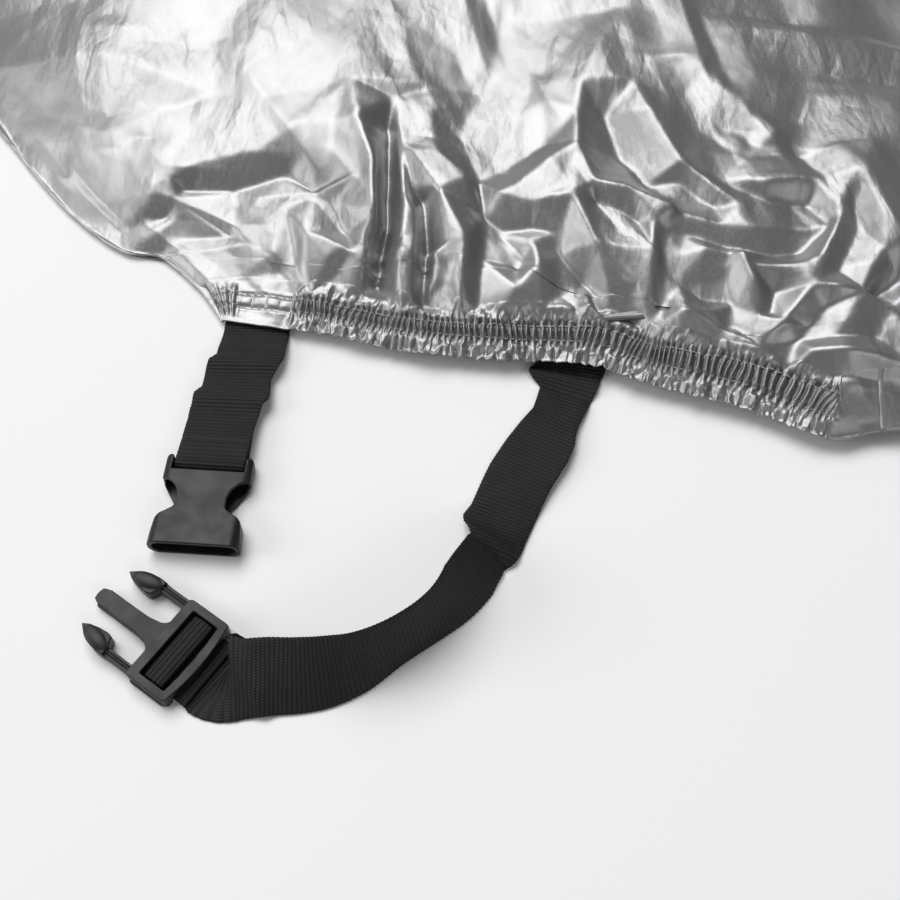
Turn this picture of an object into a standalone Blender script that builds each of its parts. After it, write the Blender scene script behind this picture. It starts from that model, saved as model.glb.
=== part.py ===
"""Motor scooter cover, laid out on its side with both strap ends unfastened.

Metres, +Z up, standing on z = 0. The cover is two side panels of coated cloth,
sewn together along the front, top and rear and open along the hem. The hem is
gathered on elastic at the front and at the rear. A short webbing loop with the
socket half of a 25 mm side-release buckle, and a longer webbing tape with the
prong half, are sewn to the front stretch of the hem.

The drawing frame has its origin at the front end of the hem, +X along the hem
and +Y up the cover. ORIGIN moves the middle of the finished piece over (0, 0).
"""

import math
from collections import namedtuple

import bmesh
import bpy
from mathutils import Matrix, Vector

MM = 0.001
ORIGIN = (0.855, 0.473)  # drawing position of the middle of the footprint

CLOTH_THICK = 1.5 * MM
GAP = 0.3 * MM
TAPE_WIDTH = 25 * MM
TAPE_THICK = 1.2 * MM
LOWER_HEM_SET_BACK = 15 * MM  # the lower panel's hem lies behind the upper one's
SEAM_HEIGHT = 1.5 * CLOTH_THICK + GAP  # middle of the upper cloth where it meets the lower
CROWN = 30 * MM  # how far the upper panel stands off inside its edges
SEAM_ROUNDING = 55 * MM  # distance over which it rises from the seams to the crown
HEM_ROUNDING = 40 * MM  # and from the hem
MOUTH_REACH = 120 * MM  # how far in the raised hem lifts the cloth
MOUTH_CORNER = 18 * MM  # and how near to a seam it stops
FOLD_CLEARANCE = 16 * MM  # folds die down this near to the edges
REST = 0.05 * MM  # how far straps and buckles lie over the floor
SEAT = 1.2 * GAP  # from one piece to the next that carries it

# Rows of the tables below: panel edges in metres, folds and tapes in millimetres.
HemPoint = namedtuple("HemPoint", "x y height")
EdgePoint = namedtuple("EdgePoint", "x y")
Fold = namedtuple("Fold", "x1 y1 x2 y2 height half_width")
TapePoint = namedtuple("TapePoint", "x y tilt")
LoopPoint = namedtuple("LoopPoint", "x y z")


def table(row_type, rows):
    return [row_type(*row) for row in rows]


# Hem of the upper panel, front to rear: place, and height of the cloth there.
HEM_ROWS = (
    (0.000, 0.000, 0.0030),
    (0.026, -0.005, 0.0034),
    (0.042, -0.008, 0.0040),
    (0.057, -0.0125, 0.0045),
    (0.076, -0.017, 0.0050),
    (0.105, -0.020, 0.0050),
    (0.123, -0.0205, 0.0048),
    (0.142, -0.023, 0.0048),
    (0.157, -0.030, 0.0050),
    (0.192, -0.041, 0.0055),
    (0.222, -0.0545, 0.0055),
    (0.238, -0.052, 0.0060),
    (0.262, -0.0515, 0.0075),
    (0.33, -0.052, 0.011),
    (0.50, -0.050, 0.017),
    (0.80, -0.046, 0.019),
    (1.10, -0.044, 0.017),
    (1.42, -0.034, 0.008),
    (1.55, -0.008, 0.005),
    (1.66, 0.030, 0.003),
)
HEM = table(HemPoint, HEM_ROWS)
# The sewn edges of the panels.
FRONT_ROWS = (
    (0.000, 0.000),
    (-0.011, 0.016),
    (-0.027, 0.031),
    (-0.0425, 0.034),
    (-0.064, 0.051),
    (-0.090, 0.082),
    (-0.122, 0.130),
    (-0.146, 0.220),
    (-0.150, 0.340),
    (-0.140, 0.500),
    (-0.080, 0.800),
    (0.050, 1.020),
)
TOP_ROWS = (
    (0.05, 1.02),
    (0.25, 1.10),
    (0.50, 1.08),
    (0.80, 0.98),
    (1.20, 0.88),
    (1.60, 0.82),
    (1.78, 0.74),
)
REAR_ROWS = (
    (1.66, 0.03),
    (1.74, 0.08),
    (1.82, 0.20),
    (1.86, 0.40),
    (1.85, 0.60),
    (1.78, 0.74),
)

FRONT = table(EdgePoint, FRONT_ROWS)
TOP = table(EdgePoint, TOP_ROWS)
REAR = table(EdgePoint, REAR_ROWS)

# Ridges and, with a negative height, troughs of the upper panel: the line that each
# follows, its height, and the distance from the line at which it has died down.
FRONT_FOLD_ROWS = (
    (46, 62, 57, 30, 14, 13),
    (57, 30, 54, 2, 13, 11),
    (72, 62, 67, 14, -14, 9),
    (80, 46, 76, 4, 8, 8),
    (104, 29, 132, 47, 10, 10),
    (135, 62, 131, 25, 12, 9),
    (131, 25, 165, 17, 10, 9),
    (131, 25, 144, -10, 9, 8),
    (158, 11, 153, -16, 8, 8),
    (165, 49, 189, 20, 9, 8),
    (197, 28, 240, 36, 12, 10),
    (237, 32, 213, -4, 12, 10),
    (213, -4, 188, -28, 10, 9),
    (239, 13, 224, -15, 8, 8),
    (-16, 47, 29, 45, -7, 12),
    (-52, 62, -20, 78, 9, 14),
    (95, 70, 110, 110, 10, 16),
)
LONG_FOLD_ROWS = (
    (100, 200, 550, 750, 12, 55),
    (250, 130, 950, 600, 11, 60),
    (430, 60, 600, 400, 12, 45),
    (780, 50, 700, 450, 10, 55),
    (1050, 60, 1250, 550, 11, 60),
    (1380, 90, 1000, 700, 9, 60),
    (1560, 150, 1600, 680, 10, 60),
    (0, 350, 200, 930, 10, 55),
    (380, 930, 1050, 800, 9, 60),
    (-60, 160, 150, 250, 11, 35),
)
FOLDS = table(Fold, FRONT_FOLD_ROWS + LONG_FOLD_ROWS)

# Route of the long tape, from under the hem to the prong half: middle of the tape,
# and the angle at which its inner edge is raised.
LONG_TAPE_ROWS = (
    (132.0, -22, 0),
    (130.4, -29, 0),
    (126.0, -40, -4),
    (119.0, -53, -6),
    (110.0, -70, -4),
    (103.5, -85, 4),
    (100.6, -94, 18),
    (97.0, -102.2, 42),
    (90.2, -115.2, 60),
    (81.2, -124.8, 71),
    (67.8, -134.6, 75),
    (56.9, -141.6, 70),
    (46.8, -144.8, 60),
    (37.7, -145.4, 45),
    (28.5, -145.0, 26),
    (20.0, -144.2, 9),
)
LONG_TAPE = table(TapePoint, LONG_TAPE_ROWS)
LONG_TAPE_START = (12, 2, -15)  # y of its stations between the panels, in millimetres

# Route of the short tape's upper layer, from under the hem to the socket half.
SHORT_TAPE_ROWS = (
    (13.4, 6, 0.65),
    (13.2, 0, 0.65),
    (12.9, -6, 1.0),
    (12.3, -13, 3.4),
    (10.4, -20, 4.2),
    (8.8, -25, 2.9),
    (7.6, -31, 4.9),
    (6.2, -37, 5.2),
    (5.0, -42, 3.6),
    (4.1, -48, 4.6),
    (3.4, -55, 5.4),
)
SHORT_TAPE = table(LoopPoint, SHORT_TAPE_ROWS)
SHORT_TAPE_RETURN = 25 * MM  # the layer turned back under the bar

# The two buckle halves: middle of the strap end on the floor, and the way they point.
SOCKET_AT, SOCKET_HEADING = (2.2 * MM, -61.2 * MM), math.radians(-94)
PRONGS_AT, PRONGS_HEADING = (5.65 * MM, -138.35 * MM), math.radians(144.5)

SOCKET = {
    "length": 36,
    "mouth_half": 16.0,
    "neck_half": 8.6,
    "ear_half": 15.5,
    "ear_inside": 12.9,
    "height": 9.0,
    "height_at_ears": 6.6,
    "body_from": 6.2,
    "neck_at": 20.5,
    "corner": 3.9,
    "ear_end_round": 1.5,
    "slot_end_round": 0.9,
    "cavity_half": 14.4,
    "cavity_low": 1.3,
    "cavity_high": 7.7,
    "cavity_from": 8.6,
    "cavity_round": 2.9,
    "window_round": 8.4,
    "window_low": 3.0,
    "bar_at": 2.4,
    "bar_height": 3.2,
    "bar_radius": 1.3,
}
PRONGS = {
    "frame_half": 16.0,
    "frame_length": 17,
    "frame_height": 6,
    "opening_half": 13.0,
    "opening_from": 2.8,
    "opening_to": 13.2,
    "end_bow": 1.3,
    "end_bar_low": 3.0,
    "bar_from": 7.0,
    "bar_to": 9.8,
    "bar_low": 1.6,
    "bar_high": 4.0,
    "arm_low": 0.8,
    "arm_high": 4.4,
    "head_low": 0.4,
    "head_high": 5.6,
    "tongue_high": 3.9,
    "tongue_half": 8.0,
    "tongue_round": 4.0,
    "corner": 1.8,
    "tail_end": -4.5,
}
# Right-hand outlines of the buckle halves in millimetres: x from the middle line,
# y from the strap end.
SOCKET_EAR_TO_NECK = ((14.9, 11.4), (13.2, 14.0), (11.0, 17.4), (9.2, 19.6))
SOCKET_NECK_TO_SHOULDER = ((9.4, 21.8), (11.6, 23.3), (13.7, 24.6), (14.7, 25.8))
SOCKET_SHOULDER_TO_MOUTH = ((15.0, 27.0), (15.6, 31.5), (16.0, 36.0))
TONGUE_TIP = ((3.4, 24.5), (3.0, 42.0), (2.2, 44.0), (0.01, 44.4))
PRONG_ARM = ((15.4, 14.5), (15.4, 24.0), (15.6, 28.5), (12.0, 28.5), (12.2, 25.0), (12.2, 14.5))
PRONG_HEAD_OUTER = ((15.6, 27.2), (15.65, 30.5), (15.0, 34.0), (13.4, 37.8), (11.3, 40.5))
PRONG_HEAD_INNER = ((9.9, 38.2), (9.0, 34.4), (8.7, 30.8), (9.1, 29.2), (11.9, 27.9))


# ---------------------------------------------------------------- small tools


def spline(points, t):
    """Point at t in 0..1 on a Catmull-Rom curve through the points, by their chord lengths."""
    lengths = [math.dist(a[:2], b[:2]) for a, b in zip(points, points[1:])]
    along = t * sum(lengths)
    i = 0
    while i < len(lengths) - 1 and along > lengths[i]:
        along -= lengths[i]
        i += 1
    s = min(1.0, along / lengths[i])
    before = points[max(0, i - 1)]
    after = points[min(len(points) - 1, i + 2)]
    row = []
    for a, b, c, d in zip(before, points[i], points[i + 1], after):
        row.append(
            b + 0.5 * s * (c - a + s * (2 * a - 5 * b + 4 * c - d + s * (3 * (b - c) + d - a)))
        )
    return row


def graded(count, fine_count, fine_share):
    """Steps 0..1: fine_count even steps over fine_share, then ever longer ones to 1."""
    step = fine_share / fine_count
    rest = count - fine_count
    growth = (1 - fine_share - step * rest) / rest**3
    shares = [k * step for k in range(fine_count + 1)]
    shares += [fine_share + k * step + growth * k**3 for k in range(1, rest + 1)]
    return shares


def material(name, colour, roughness, metallic=0.0):
    made = bpy.data.materials.new(name)
    made.use_nodes = True
    shader = made.node_tree.nodes["Principled BSDF"]
    shader.inputs["Base Color"].default_value = (*colour, 1.0)
    shader.inputs["Roughness"].default_value = roughness
    shader.inputs["Metallic"].default_value = metallic
    made.diffuse_color = (*colour, 1.0)
    return made


def add_object(name, mesh, collection, parent=None, finish=None):
    obj = bpy.data.objects.new(name, mesh)
    collection.objects.link(obj)
    obj.parent = parent
    if finish:
        mesh.materials.append(finish)
    return obj


def as_cutter(obj, target):
    obj.parent = target
    obj.hide_render = True
    obj.display_type = "WIRE"


def boolean(target, other, operation):
    as_cutter(other, target)
    modifier = target.modifiers.new(other.name, "BOOLEAN")
    modifier.operation = operation
    modifier.object = other


# ---------------------------------------------------------------- cloth panels


def fold_height(p):
    """Height that the folds add at p, in metres: a bell across each fold's line."""
    total = 0.0
    for fold in FOLDS:
        a = Vector((fold.x1, fold.y1)) * MM
        b = Vector((fold.x2, fold.y2)) * MM
        run = b - a
        share = max(0.0, min(1.0, (p - a).dot(run) / run.length_squared))
        away = (p - a - share * run).length / (fold.half_width * MM)
        total += fold.height * MM * math.exp(-away * away)
    return total


def upper_hem(t):
    return spline(HEM, t)[:2]


def upper_front(t):
    return spline(FRONT, t)


def panel_point(hem, front, u, v):
    """Coons patch between the four edges of a panel."""
    low = Vector(hem(u))
    high = Vector(spline(TOP, u))
    left = Vector(front(v))
    right = Vector(spline(REAR, v))
    corners = [Vector(hem(0)), Vector(hem(1)), Vector(TOP[0]), Vector(TOP[-1])]
    across = (1 - v) * low + v * high
    up = (1 - u) * left + u * right
    flat = (1 - v) * ((1 - u) * corners[0] + u * corners[1])
    flat += v * ((1 - u) * corners[2] + u * corners[3])
    return across + up - flat


def distance_to(points, p):
    """Distance from p to the line through the points."""
    nearest = 9.0
    for a, b in zip(points, points[1:]):
        a, b = Vector(a[:2]), Vector(b[:2])
        run = b - a
        share = max(0.0, min(1.0, (p - a).dot(run) / run.length_squared))
        nearest = min(nearest, (p - a - share * run).length)
    return nearest


def upper_height(p):
    """Height of the middle of the upper cloth over the drawing point p."""
    from_hem = distance_to(HEM, p)
    from_seam = min(distance_to(edge, p) for edge in (FRONT, TOP, REAR))
    inside = 1 - math.exp(-from_seam / SEAM_ROUNDING)
    behind = 1 - math.exp(-from_hem / HEM_ROUNDING)
    k = max(i for i in range(len(HEM) - 1) if i == 0 or p.x >= HEM[i].x)
    share = max(0.0, min(1.0, (p.x - HEM[k].x) / (HEM[k + 1].x - HEM[k].x)))
    hem_height = HEM[k].height * (1 - share) + HEM[k + 1].height * share
    open_edge = (hem_height - SEAM_HEIGHT) * math.exp(-from_hem / MOUTH_REACH)
    edge = open_edge * (1 - math.exp(-from_seam / MOUTH_CORNER))
    clear = 1 - math.exp(-min(from_hem, from_seam) / FOLD_CLEARANCE)
    return SEAM_HEIGHT + edge + CROWN * inside * behind + fold_height(p) * clear


def cloth_panel(name, columns, rows, edges, height, collection, parent, finish):
    """A grid laid between the panel's edges, lifted by height(point), with its thickness."""
    bm = bmesh.new()
    bmesh.ops.create_grid(bm, x_segments=len(columns) - 1, y_segments=len(rows) - 1, size=0.5)
    for vert in bm.verts:
        i = round((vert.co.x + 0.5) * (len(columns) - 1))
        j = round((vert.co.y + 0.5) * (len(rows) - 1))
        p = panel_point(*edges, columns[i], rows[j])
        vert.co = (p.x, p.y, height(p))
    bmesh.ops.triangulate(bm, faces=bm.faces, quad_method="SHORT_EDGE")
    mesh = bpy.data.meshes.new(name)
    bm.to_mesh(mesh)
    bm.free()
    obj = add_object(name, mesh, collection, parent, finish)
    shell = obj.modifiers.new("thickness", "SOLIDIFY")
    shell.thickness = CLOTH_THICK
    shell.offset = 0
    return obj


def side_panel_upper(collection, parent, finish):
    columns = graded(50, 28, 0.158)
    rows = graded(28, 13, 0.115)
    edges = (upper_hem, upper_front)
    cloth_panel("side_panel_upper", columns, rows, edges, upper_height, collection, parent, finish)


def side_panel_lower(collection, parent, finish):
    """Lies flat on the floor, with its hem set back under the upper one."""
    lower_front = FRONT[1:]

    def hem(t):
        x, y = upper_hem(t)
        ahead = (1 - t) * lower_front[0].x
        return (x + ahead, y + LOWER_HEM_SET_BACK * (1 - t))

    def front(v):
        return spline(lower_front, v)

    def flat(_):
        return CLOTH_THICK / 2

    columns = graded(22, 8, 0.16)
    rows = graded(12, 4, 0.12)
    edges = (hem, front)
    cloth_panel("side_panel_lower", columns, rows, edges, flat, collection, parent, finish)


# ---------------------------------------------------------------- webbing tapes


def tape(name, stations, collection, parent, finish):
    """Webbing through the stations, each a middle point and a unit vector across."""
    bm = bmesh.new()
    last = len(stations) - 1
    bmesh.ops.create_grid(bm, x_segments=2, y_segments=last, size=0.5)
    for vert in bm.verts:
        middle, across = stations[round((vert.co.y + 0.5) * last)]
        vert.co = middle + across * TAPE_WIDTH * vert.co.x
    mesh = bpy.data.meshes.new(name)
    bm.to_mesh(mesh)
    bm.free()
    obj = add_object(name, mesh, collection, parent, finish)
    shell = obj.modifiers.new("thickness", "SOLIDIFY")
    shell.thickness = TAPE_THICK
    shell.offset = 0
    return obj


def buckle_frame(at, heading):
    """(origin, along, across) of a buckle half: along points away from its strap."""
    along = Vector((math.cos(heading), math.sin(heading), 0))
    across = Vector((math.sin(heading), -math.cos(heading), 0))
    return Vector((*at, 0)), along, across


def turned(centre, radius, start, end, steps):
    """Points of an arc in the upright plane, as (along, height) in millimetres."""
    points = []
    for k in range(steps + 1):
        angle = math.radians(start + (end - start) * k / steps)
        points.append((centre[0] + radius * math.cos(angle), centre[1] + radius * math.sin(angle)))
    return points


def level_stations(rows, steps):
    """Stations of a tape lying along rows of (x, y, tilt), its lower edge on the floor."""
    made = []
    for k in range(steps + 1):
        x, y, tilt = spline(rows, k / steps)
        x0, y0, _ = spline(rows, max(0.0, (k - 0.5) / steps))
        x1, y1, _ = spline(rows, min(1.0, (k + 0.5) / steps))
        heading = math.atan2(y1 - y0, x1 - x0)
        lean = math.radians(tilt)
        flat = Vector((math.sin(heading), -math.cos(heading), 0))
        across = flat * math.cos(lean) + Vector((0, 0, math.sin(lean)))
        rise = TAPE_WIDTH / 2 * abs(math.sin(lean)) + TAPE_THICK / 2 * math.cos(lean)
        made.append((Vector((x * MM, y * MM, rise + REST)), across))
    return made


def strap_long(collection, parent, finish):
    """From the lower panel's hem, round in a curve and through the ladder of the prong half."""
    origin, along, across = buckle_frame(PRONGS_AT, PRONGS_HEADING)
    on_panel = CLOTH_THICK + SEAT + TAPE_THICK / 2
    side = Vector((-1, 0, 0))
    start_x = LONG_TAPE[0].x + 1
    stations = [(Vector((start_x * MM, y * MM, on_panel)), side) for y in LONG_TAPE_START]
    stations += level_stations(LONG_TAPE, 60)

    sizes = PRONGS
    half = TAPE_THICK / MM / 2
    floor = half + REST / MM
    clear = half + 1.3 * GAP / MM
    turn = sizes["bar_to"] + clear
    back = sizes["bar_from"] - clear
    over = sizes["bar_high"] + clear
    tail = floor + 2 * half + GAP / MM
    foot = half + 0.4  # bend at the foot of the rise
    top = half + 1.1  # bend over the bar
    path = [(y, floor) for y in (-7.0, -3.5, 0.0, 4.0, 7.5)]
    path += turned((turn - foot, floor + foot), foot, -90, 0, 4)
    path += turned((turn - top, over - top), top, 0, 90, 5)
    path += turned((back + top, over - top), top, 90, 180, 5)
    path += turned((back - foot, tail + foot), foot, 0, -90, 4)
    path += [(sizes["opening_from"] - 0.3, tail), (sizes["tail_end"], tail)]
    for y, z in path:
        stations.append((origin + along * (y * MM) + Vector((0, 0, z * MM)), across))
    tape("strap_long", stations, collection, parent, finish)


def strap_short(collection, parent, finish):
    """From the upper panel's hem to the socket half, round its bar and back beneath."""
    origin, along, across = buckle_frame(SOCKET_AT, SOCKET_HEADING)
    bar = (SOCKET["bar_at"], SOCKET["bar_height"])
    radius = (SOCKET["bar_radius"] * MM + SEAT + TAPE_THICK / 2) / MM
    steps = 34
    upper = []
    start = Vector((-1, 0, 0))
    for k in range(steps + 1):
        x, y, z = spline(SHORT_TAPE, k / steps)
        lean = start.lerp(across, k / steps).normalized()
        upper.append((Vector((x, y, z)) * MM, lean))
    loop = []
    for y, z in turned(bar, radius, 90, -90, 10):
        loop.append((origin + along * (y * MM) + Vector((0, 0, z * MM)), across))
    under = []
    floor = TAPE_THICK / 2 + REST
    drop = (bar[1] - radius) * MM - floor
    for k in range(1, 9):
        share = k / 8
        y = bar[0] * MM - share * SHORT_TAPE_RETURN
        height = floor + drop * max(0, 1 - 4 * share)
        under.append((origin + along * y + Vector((0, 0, height)), across))
    tape("strap_short", upper + loop + under, collection, parent, finish)


# ---------------------------------------------------------------- buckle halves


def plate(name, outlines, low, high, collection):
    """Closed solid of a flat outline, with its holes, between two heights, in millimetres."""
    curve = bpy.data.curves.new(name, "CURVE")
    curve.dimensions = "2D"
    curve.fill_mode = "BOTH"
    curve.extrude = (high - low) / 2 * MM
    for outline in outlines:
        line = curve.splines.new("POLY")
        line.points.add(len(outline) - 1)
        for point, (x, y) in zip(line.points, outline):
            point.co = (x * MM, y * MM, 0, 1)
        line.use_cyclic_u = True
    drawn = add_object(name + "_curve", curve, collection)
    graph = bpy.context.evaluated_depsgraph_get()
    graph.update()
    mesh = bpy.data.meshes.new_from_object(drawn.evaluated_get(graph))
    bpy.data.objects.remove(drawn)
    mesh.transform(Matrix.Translation((0, 0, (high + low) / 2 * MM)))
    bm = bmesh.new()
    bm.from_mesh(mesh)
    bmesh.ops.remove_doubles(bm, verts=bm.verts, dist=0.00001)
    bmesh.ops.recalc_face_normals(bm, faces=bm.faces)
    bm.to_mesh(mesh)
    bm.free()
    mesh.materials.clear()
    return add_object(name, mesh, collection)


def block(name, low, high, collection, round_along=None, radius=0.0):
    """Box between two corners in millimetres, its edges along one axis rounded."""
    bm = bmesh.new()
    bmesh.ops.create_cube(bm, size=1)
    size = Vector(high) - Vector(low)
    middle = (Vector(high) + Vector(low)) / 2
    bmesh.ops.scale(bm, vec=size * MM, verts=bm.verts)
    bmesh.ops.translate(bm, vec=middle * MM, verts=bm.verts)
    if round_along is not None:
        edges = []
        for edge in bm.edges:
            run = edge.verts[1].co - edge.verts[0].co
            if abs(run[round_along]) > 0.9 * run.length:
                edges.append(edge)
        bmesh.ops.bevel(
            bm, geom=edges, offset=radius * MM, segments=6, profile=0.5, affect="EDGES"
        )
    mesh = bpy.data.meshes.new(name)
    bm.to_mesh(mesh)
    bm.free()
    return add_object(name, mesh, collection)


def both_sides(half):
    """The outline whose right half is given, from the strap end round to the middle."""
    return [(x, y) for x, y in half] + [(-x, y) for x, y in reversed(half)]


def arc(centre, radius, start, end, steps):
    return [
        (
            centre[0] + radius * math.cos(math.radians(start + (end - start) * k / steps)),
            centre[1] + radius * math.sin(math.radians(start + (end - start) * k / steps)),
        )
        for k in range(steps + 1)
    ]


def place(obj, at, heading):
    """Turns +Y of the object to the heading, at a place on the floor."""
    obj.rotation_euler = (0, 0, heading - math.pi / 2)
    obj.location = (*at, REST)


def lower_strap_end(obj, drop):
    """Slope a block's top down towards the strap end by a drop in millimetres, keeping its roundings apart."""
    points = [vert.co for vert in obj.data.vertices]
    near, far = min(p.y for p in points), max(p.y for p in points)
    low, high = min(p.z for p in points), max(p.z for p in points)
    left = 1 - drop * MM / (high - low)
    for point in points:
        if point.y < (near + far) / 2:
            point.z = low + (point.z - low) * left
    bm = bmesh.new()
    bm.from_mesh(obj.data)
    bmesh.ops.triangulate(bm, faces=bm.faces)
    bm.to_mesh(obj.data)
    bm.free()


def buckle_socket(collection, cutters, parent, finish):
    s = SOCKET
    ear_round = s["ear_end_round"]
    slot_round = s["slot_end_round"]
    half = [(s["ear_inside"], s["body_from"])]
    half += arc((s["ear_inside"] + slot_round, slot_round), slot_round, 180, 270, 3)
    half += arc((s["ear_half"] - ear_round, ear_round), ear_round, 270, 360, 4)
    half += [(s["ear_half"], 9.6), *SOCKET_EAR_TO_NECK, (s["neck_half"], s["neck_at"])]
    half += [*SOCKET_NECK_TO_SHOULDER, *SOCKET_SHOULDER_TO_MOUTH]
    outline = both_sides(half)
    body = plate("buckle_socket", [outline], 0, s["height"], cutters)
    cutters.objects.unlink(body)
    collection.objects.link(body)
    body.data.materials.append(finish)
    body.parent = parent
    place(body, SOCKET_AT, SOCKET_HEADING)

    far = s["length"]
    wide = s["mouth_half"] + 0.02
    envelope = block(
        "socket_envelope", (-wide, -1, 0), (wide, far - 0.01, s["height"]), cutters, 1, s["corner"]
    )
    drop = (s["height"] - s["height_at_ears"]) / (far - 8)
    lower_strap_end(envelope, drop * far)
    boolean(body, envelope, "INTERSECT")

    cavity = block(
        "socket_cavity",
        (-s["cavity_half"], s["cavity_from"], s["cavity_low"]),
        (s["cavity_half"], far + 4, s["cavity_high"]),
        cutters,
        1,
        s["cavity_round"],
    )
    lower_strap_end(cavity, drop * (far - s["cavity_from"]))
    boolean(body, cavity, "DIFFERENCE")
    neck = s["neck_half"]
    for side in (-1, 1):
        window = arc((neck + s["window_round"], s["neck_at"] - 2.5), s["window_round"], 180, 255, 8)
        window += [(20, window[-1][1]), (20, s["neck_at"]), (neck, s["neck_at"])]
        window = [(side * x, y) for x, y in window]
        tag = "left" if side < 0 else "right"
        cutter = plate("socket_window_" + tag, [window], s["window_low"], s["height"] + 3, cutters)
        boolean(body, cutter, "DIFFERENCE")

    bm = bmesh.new()
    length = 2 * s["ear_inside"] + 1.6
    radius = s["bar_radius"] * MM
    bmesh.ops.create_cone(
        bm, cap_ends=True, segments=16, radius1=radius, radius2=radius, depth=length * MM
    )
    bmesh.ops.rotate(bm, matrix=Matrix.Rotation(math.pi / 2, 3, "Y"), verts=bm.verts)
    shift = Vector((0, s["bar_at"], s["bar_height"])) * MM
    bmesh.ops.translate(bm, vec=shift, verts=bm.verts)
    mesh = bpy.data.meshes.new("socket_bar")
    bm.to_mesh(mesh)
    bm.free()
    boolean(body, add_object("socket_bar", mesh, cutters), "UNION")


def buckle_prongs(collection, cutters, parent, finish):
    p = PRONGS
    wide, long = p["frame_half"], p["frame_length"]
    inner = p["opening_half"]

    def bowed(share, depth):
        return -depth * (1 - share * share)

    half = [(0.01, bowed(0, p["end_bow"]))]
    half += [(share * 13.5, bowed(share, p["end_bow"])) for share in (1 / 3, 2 / 3, 1)]
    half += arc((wide - p["corner"], p["corner"]), p["corner"], 285, 360, 4)
    half += [(wide, long - 1.2), (wide - 0.8, long)]
    frame_outline = both_sides(half)
    hole = []
    for share in (-1, -0.5, 0, 0.5, 1):
        hole.append((share * inner, p["opening_from"] + bowed(share, 0.6 * p["end_bow"])))
    hole += [(inner, p["opening_to"]), (-inner, p["opening_to"])]
    frame = plate("buckle_prongs", [frame_outline, hole], 0, p["frame_height"], cutters)
    cutters.objects.unlink(frame)
    collection.objects.link(frame)
    frame.data.materials.append(finish)
    frame.parent = parent
    place(frame, PRONGS_AT, PRONGS_HEADING)

    under = block(
        "prongs_tape_way",
        (-p["opening_half"], -6, -1),
        (p["opening_half"], p["opening_from"] + 1, p["end_bar_low"]),
        cutters,
    )
    boolean(frame, under, "DIFFERENCE")
    bar = block(
        "prongs_bar",
        (-p["opening_half"] - 1, p["bar_from"], p["bar_low"]),
        (p["opening_half"] + 1, p["bar_to"], p["bar_high"]),
        cutters,
        0,
        0.7,
    )
    boolean(frame, bar, "UNION")

    round_at = p["tongue_half"]
    tongue_half = [(0.01, long - 2.5), (round_at, long - 2.5), (round_at, long + 0.4)]
    tongue_half += arc((round_at, long + 0.4 + p["tongue_round"]), p["tongue_round"], 270, 197, 5)
    tongue_half += TONGUE_TIP
    tongue = plate("prongs_tongue", [both_sides(tongue_half)], p["arm_low"], p["tongue_high"], cutters)
    boolean(frame, tongue, "UNION")
    for side in (-1, 1):
        tag = "left" if side < 0 else "right"
        arm = [(side * x, y) for x, y in PRONG_ARM]
        boolean(frame, plate("prongs_arm_" + tag, [arm], p["arm_low"], p["arm_high"], cutters), "UNION")
        head = [(side * x, y) for x, y in PRONG_HEAD_OUTER + PRONG_HEAD_INNER]
        tip = plate("prongs_head_" + tag, [head], p["head_low"], p["head_high"], cutters)
        boolean(frame, tip, "UNION")


# ---------------------------------------------------------------- the cover


def new_collection(name):
    made = bpy.data.collections.new(name)
    bpy.context.scene.collection.children.link(made)
    return made


def build():
    for obj in list(bpy.data.objects):
        bpy.data.objects.remove(obj)
    cover = new_collection("motor_scooter_cover")
    cutters = new_collection("cutters")
    origin = bpy.data.objects.new("cover_origin", None)
    origin.location = (-ORIGIN[0], -ORIGIN[1], 0)
    cover.objects.link(origin)
    silver = material("silver_cloth", (0.55, 0.55, 0.56), 0.36, 0.55)
    webbing = material("black_webbing", (0.018, 0.018, 0.019), 0.8)
    plastic = material("black_plastic", (0.04, 0.04, 0.043), 0.45)
    side_panel_lower(cover, origin, silver)
    side_panel_upper(cover, origin, silver)
    strap_short(cover, origin, webbing)
    strap_long(cover, origin, webbing)
    buckle_socket(cover, cutters, origin, plastic)
    buckle_prongs(cover, cutters, origin, plastic)


build()
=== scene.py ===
import math

import bmesh
import bpy
import numpy as np
from mathutils import Matrix, Vector
from mathutils.geometry import delaunay_2d_cdt


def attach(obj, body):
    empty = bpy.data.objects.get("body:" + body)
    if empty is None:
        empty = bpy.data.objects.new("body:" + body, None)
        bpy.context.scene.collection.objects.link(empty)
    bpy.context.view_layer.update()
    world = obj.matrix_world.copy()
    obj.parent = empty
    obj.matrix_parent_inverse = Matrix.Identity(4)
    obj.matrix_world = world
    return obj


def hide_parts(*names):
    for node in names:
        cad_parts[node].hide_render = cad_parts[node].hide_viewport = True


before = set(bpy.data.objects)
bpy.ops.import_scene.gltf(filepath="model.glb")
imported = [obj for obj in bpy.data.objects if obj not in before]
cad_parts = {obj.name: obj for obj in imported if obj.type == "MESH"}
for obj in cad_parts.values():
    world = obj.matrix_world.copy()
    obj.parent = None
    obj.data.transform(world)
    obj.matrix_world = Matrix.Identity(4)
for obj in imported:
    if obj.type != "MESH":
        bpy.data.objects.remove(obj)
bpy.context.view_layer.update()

mm = 0.001
# The drawing below starts at the front end of the hem, with x along the hem and y up
# the cover. The finished cover is centred on the floor.
drawingStart = np.array((-0.855, -0.473, 0.0))

# the camera looks down on the front end of the hem
cameraSetup = {
    "over": (86.7, -55.6),  # point of the drawing in the middle of the view, mm
    "distance": 0.430,
    "elevation": 60,
    "lens": 47.8,
}


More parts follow.
